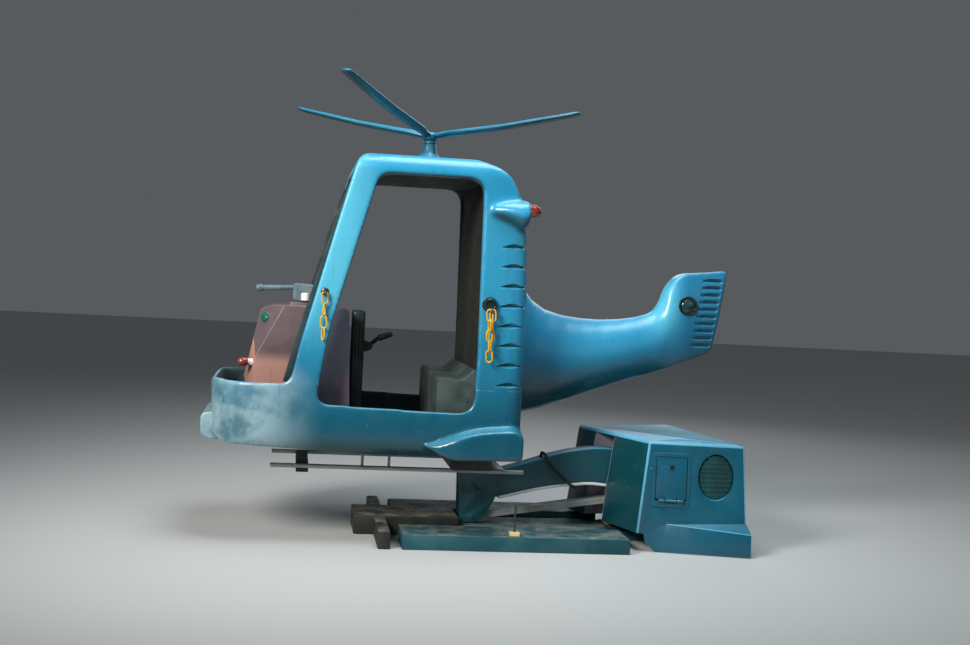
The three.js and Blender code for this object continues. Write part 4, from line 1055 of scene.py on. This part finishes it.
def make_chains():
    """Plastic links: one is modelled, then copied down the chain, each turned across the last."""
    let_go()
    bpy.ops.mesh.primitive_torus_add(major_segments=28, minor_segments=10, major_radius=LINK_RADIUS,
                                     minor_radius=LINK_WIRE, rotation=TURNS["Y"])
    link = settle(named("link"))
    for way in (1, -1):
        shift_points(link, lambda p: p.z * way > 0.0015, (0, 0, way * LINK_STRETCH))
    for side, tag in ((-1, "left"), (1, "right")):
        for where, y, top, node, strands, count, pitch in RUNS:
            parts = []
            for x, lean in strands:
                for i in range(count):
                    place = mm(x + 1.8 * lean * i, side * (y + 3 * lean), top - pitch * i)
                    across = (math.pi / 2 if i % 2 else 0) + 0.4 * math.sin(i * 1.7 + x)
                    parts.append(placed(copied(link, "one"), (
                        Matrix.Translation(place) @ Matrix.Rotation(across, 4, "Z")
                        @ Matrix.Rotation(0.05 if i % 2 else -0.06, 4, "Y"))))
            chain = join(f"chain_{where}_{tag}", *parts)
            dress(chain, "car", "chain_plastic", "chain_yellow", angle=50)
            dress(chain_anchor(where, side, tag), "car", "boss_moulding", "dark_metal", f"{node}_{tag}")
    bpy.data.objects.remove(link)


# Carrier, arm, link and base
SOLIDS = (
    # solid, rounding, finish, slot
    ("arm_head", 3, "arm_blue_paint", "base_steel"), ("carrier_cross", 4, "under_steel", "base_steel"),
    ("pivot_bracket", 3, "under_steel", "base_steel"), ("mounting_pad", 8, "under_steel", "dark_metal"),
    ("support_rail_left", 3, "pale_steel", "rail_pale"), ("support_rail_right", 3, "pale_steel", "rail_pale"),
    ("base_spine", 5, "base_steel_paint", "base_steel"), ("rest_beam", 7, "under_steel", "dark_metal"),
    ("side_platform_left", 8, "base_steel_paint", "base_steel"),
    ("side_platform_right", 8, "base_steel_paint", "base_steel"),
    ("cabin_floor", 2, "cabin_floor_sheet", "cabin_floor"),
    ("rear_bulkhead", 2, "cabin_lining", "bulkhead_brown"),
)
HOSE = [
    (-735, -20, 466), (-733, -44, 496), (-716, -70, 486), (-690, -72, 440), (-620, -72, 370),
    (-560, -72, 316), (-528, -66, 296), (-515, -40, 298), (-512, -20, 320),
]
HOSE_RADIUS = 9


def make_arm():
    arm = slab("arm", [
        (-1204, 214, 60), (-1180, 330, 70), (-1076, 362, 60), (-839, 430, 120), (-629, 504, 140),
        (-354, 550, 140), (-120, 500, 90), (-62, 380, 70), (-150, 306, 60), (-435, 327, 120),
        (-710, 294, 120), (-1041, 212, 60), (-1120, 150, 50)], "side", -60, 60, 8)
    soften(coats(arm, "arm_blue_paint", "arm_edge_paint"), 9, 4, 60, 1)
    for x, z in ((-150, 390), (-1110, 250)):
        carve(arm, turned("bore", [(0, -100), (19.6, -100), (19.6, 100), (0, 100)], "Y", (x, 0, z)))
    flange = slab("arm_flange", [
        (-985, 227), (-710, 298, 120), (-435, 331, 120), (-330, 321), (-330, 305), (-435, 315, 120),
        (-710, 282, 120), (-985, 211)], "side", -65, 65, 8)
    soften(flange, 3, 2, 60)
    plates = [slab("pivot_plate", [(-196, 346, 30), (-104, 346, 30), (-96, 436, 30), (-204, 436, 30)],
                   "side", side * 59, side * 62.5, 5) for side in (-1, 1)]
    arm = join("arm_beam", arm, flange, *[outwards(plate) for plate in plates])
    dress(arm, "arm", None, "arm_blue", "upper_arm")
    dress(part_copy("lower_link", "link_bar", 6, 3, 40), "link", "pale_steel", "rail_pale", "lower_link")
    for node, edge, finish, slot in SOLIDS:
        piece = part_copy(node, node + "_dressed", edge, 2, 40)
        dress(piece, frame["nodes"][node]["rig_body"], finish, slot, node)
    foot = block("post_foot", (-995, -938), (-590, -540), (86.4, 110), 4)
    rod = turned("post_rod", [
        (0, 100), (6.8, 100), (6.8, 114), (5.8, 116), (5.8, 255), (4.4, 261), (0, 262)],
        "Z", (-966, -565, 0), 20)
    dress(foot, "base", "stop_block_moulding", "rail_pale", "stop_post", angle=0)
    dress(rod, "base", "under_steel", "dark_metal")


def make_hose():
    route = eased(HOSE, 4)
    length = sum((b - a).length for a, b in zip(route, route[1:]))
    hose = round_rod("hose", route, HOSE_RADIUS)
    dress(hose, "arm", "hose_rubber", "hose_rubber", "arm_hose", angle=0)
    tuple(route[0])


# The machine cover
FOOT = [(-245, -484), (402, -572), (236, 560), (-502, 345)]
TOP = [(-180, -449), (366, -523.26), (202, 514), (-437, 309)]
TALL = 637
WALL = 16
HATCH_HOLE = [(105, 296, 14), (287, 296, 14), (287, 552, 14), (105, 552, 14)]
VENT_U, VENT_V = 453, 446
VENT_SCALE = (1, 136 / 104, 1)
LIP_HEIGHT = 60
CORNER_SHARE = 1.45  # a corner moves in by this much more than its two sides
UPRIGHT_ROUND, ROOF_ROUND = 0.009, 0.017
SLATS, SLAT_PITCH, PAN_WIDE, PAN_TALL = 9, 27, 96, 126


def cover_front():
    """A frame on the cover's front face: u along it, v up it, w out of it."""
    foot = Vector((*FOOT[0], 0))
    u = (Vector((*FOOT[1], 0)) - foot).normalized()
    w = u.cross(Vector((*TOP[0], TALL)) - foot).normalized()
    grid = Matrix((u, w.cross(u).normalized(), w)).transposed().to_4x4()
    grid.translation = foot * 0.001
    return grid


def on_front(piece):
    return placed(piece, cover_front() @ piece.matrix_world)


def shrunk(corners, by):
    middle = sum((Vector(corner) / 4 for corner in corners), Vector((0, 0)))
    return [tuple(Vector(c) - (Vector(c) - middle).normalized() * by * CORNER_SHARE) for c in corners]


def cover_ledge():
    """The lower front swells out to the right, under a thin sloping lip that starts at a point."""
    length = (Vector(FOOT[1]) - Vector(FOOT[0])).length
    places = [
        (140, 0.5, -8), (length - 10, 0.5, -4), (length + 12, 0.5, 56), (160, 0.5, 4),
        (168, 170, -8), (length - 12, 192, -4), (length + 12, 130, 48), (180, 166, 1)]
    ledge = tapered_block("ledge", [p[:2] for p in places[:4]], [p[:2] for p in places[4:]], 0, LIP_HEIGHT)
    for i, (u, v, w) in enumerate(places):
        spot = mm(u, v, 0 if i < 4 else LIP_HEIGHT)
        shift_points(ledge, lambda p: (p - spot).length < 0.0015, mm(u, v, w) - spot)
    return coats(on_front(outwards(ledge)), "cover_blue_paint", "cover_edge_paint")


def make_cover():
    cover = coats(tapered_block("cover", FOOT, TOP, 0, TALL), "cover_blue_paint", "cover_edge_paint")
    edit(cover)
    for width, test in ((UPRIGHT_ROUND, lambda a, b: abs(a.z - b.z) > 0.3),
                        (ROOF_ROUND, lambda a, b: min(a.z, b.z) > 0.63)):
        pick(cover, "EDGE", lambda line: test(*(v.co for v in line.verts)))
        bpy.ops.mesh.bevel(offset=width, segments=4, affect="EDGES", material=1)
    let_go()
    weld_on(cover, soften(cover_ledge(), 3, 2, 30, 1))
    carve(cover, tapered_block("hollow", shrunk(FOOT, WALL), shrunk(TOP, WALL), -2, TALL - 14))
    carve(cover, slab("slot", [(-700, -30), (-170, -30), (-170, 618, 20), (-700, 618)], "side", -98, 112, 4))
    carve(cover, slab("under_left", [
        (-700, -30), (-96, -30), (-190, 60, 60), (-190, 104, 20), (-700, 104)], "side", -700, 700, 5))
    carve(cover, block("gate", (100, 700), (-180.3, 180.3), (-20, 60.3)))
    carve(cover, on_front(slab("hatch_hole", HATCH_HOLE, "plan", -70, 70, 4)))
    carve(cover, on_front(turned("dish", [
        (0, -60), (97, -60), (97, -24), (100, -8), (106, 6), (106, 60), (0, 60)],
        "Z", (VENT_U, VENT_V, 0), 56, VENT_SCALE)))
    carve(cover, turned("basin", [(0, 628), (40, 629), (60, 631), (72, 636), (78, 650), (0, 650)],
                        "Z", (60, -380, 0), 48, (1.5, 0.8, 1)))
    soften(cover, 4, 2, 40)
    dress(cover, "base", None, "cover_blue", "machine_cover", angle=35)


def make_hatch():
    ring = slab("hatch_frame", [(84, 262, 26), (308, 262, 26), (308, 576, 26), (84, 576, 26)],
                "plan", -1, 3, 6)
    carve(ring, slab("frame_hole", HATCH_HOLE, "plan", -20, 20, 5))
    dress(on_front(soften(ring, 1.5, 3, 40)), "base", "cover_blue_paint", "cover_blue")
    flap = slab("flap", [(107.5, 306, 12), (284.5, 306, 12), (284.5, 549.5, 12), (107.5, 549.5, 12)],
                "plan", -8, 0, 5)
    panel = slab("panel", [(122, 322, 12), (270, 322, 12), (270, 500, 12), (122, 500, 12)],
                 "plan", -0.5, 1.5, 5)
    soften(flap, 2.5, 3, 40)
    soften(panel, 1, 2, 40)
    leaf = block("leaf", (166, 226), (298, 332), (-1, 4), 1, 2)
    knuckle = turned("knuckle", [(4.6, -30), (9, -30), (9, 30), (4.6, 30), (4.6, -30)],
                     "X", (196, 298, 12), 24)
    flap = on_front(join("hatch", flap, panel, leaf, knuckle))
    dress(flap, "hatch", "cover_blue_paint", "cover_blue", "hatch_flap")
    hinge = part_copy("hatch_hinge", "hatch_knuckles", 0.8, 2, 40)
    dress(hinge, "base", "cover_blue_paint", "base_steel", "hatch_hinge")
    lock = turned("lock", [
        (0, 0.5), (14, 0.5), (14, 4), (12.5, 7), (9, 8), (8, 5.5), (3, 5.5), (2.5, 8), (0, 8)],
        "Z", (196, 492, 0), 32)
    dress(on_front(lock), "hatch", "boss_moulding", "base_steel", "hatch_lock", angle=35)


def make_vent():
    """An oval pan with nine sloping slats."""
    pan = turned("vent_pan", [(0, -22), (94, -22), (96, -20), (96, -16), (94, -14), (0, -14)],
                 "Z", (VENT_U, VENT_V, 0), 56, VENT_SCALE)
    slats = []
    for i in range(SLATS):
        v = VENT_V + (i - SLATS // 2) * SLAT_PITCH
        reach = PAN_WIDE * math.sqrt(1 - ((v - VENT_V) / PAN_TALL) ** 2) - 2
        slat = slab("slat", [(v - 9, -16), (v + 7, -6), (v + 9, -9), (v - 7, -19)],
                    "front", VENT_U - reach, VENT_U + reach)
        slats.append(soften(slat, 1, 2, 40))
    vent = on_front(join("vent_grille", pan, *slats))
    dress(vent, "base", "vent_moulding", "dark_metal", "cover_vent", angle=35)


def make_cheeks():
    """The sides of the slot that the arm comes out of, pale mauve as painted sunlight."""
    cheeks = join("slot_cheeks", *[
        slab("cheek", [(-440, 110), (-120, 110), (-120, 614, 30), (-372, 614, 20)], "side", y0, y1, 4)
        for y0, y1 in ((105, 112), (-98, -91))])
    keep_common(cheeks, tapered_block("cheek_limit", shrunk(FOOT, 3), shrunk(TOP, 3), 0, TALL - 4))
    dress(cheeks, "base", "cover_cheek_moulding", "dark_metal")


def main():
    for step in (set_camera, light_studio, lay_floor, make_finishes, make_hose, make_shell, make_nose,
                 make_tail, make_fin_hub, make_rotor, make_cockpit, make_chains, make_arm, make_cover,
                 make_hatch, make_vent, make_cheeks, let_go):
        step()


main()
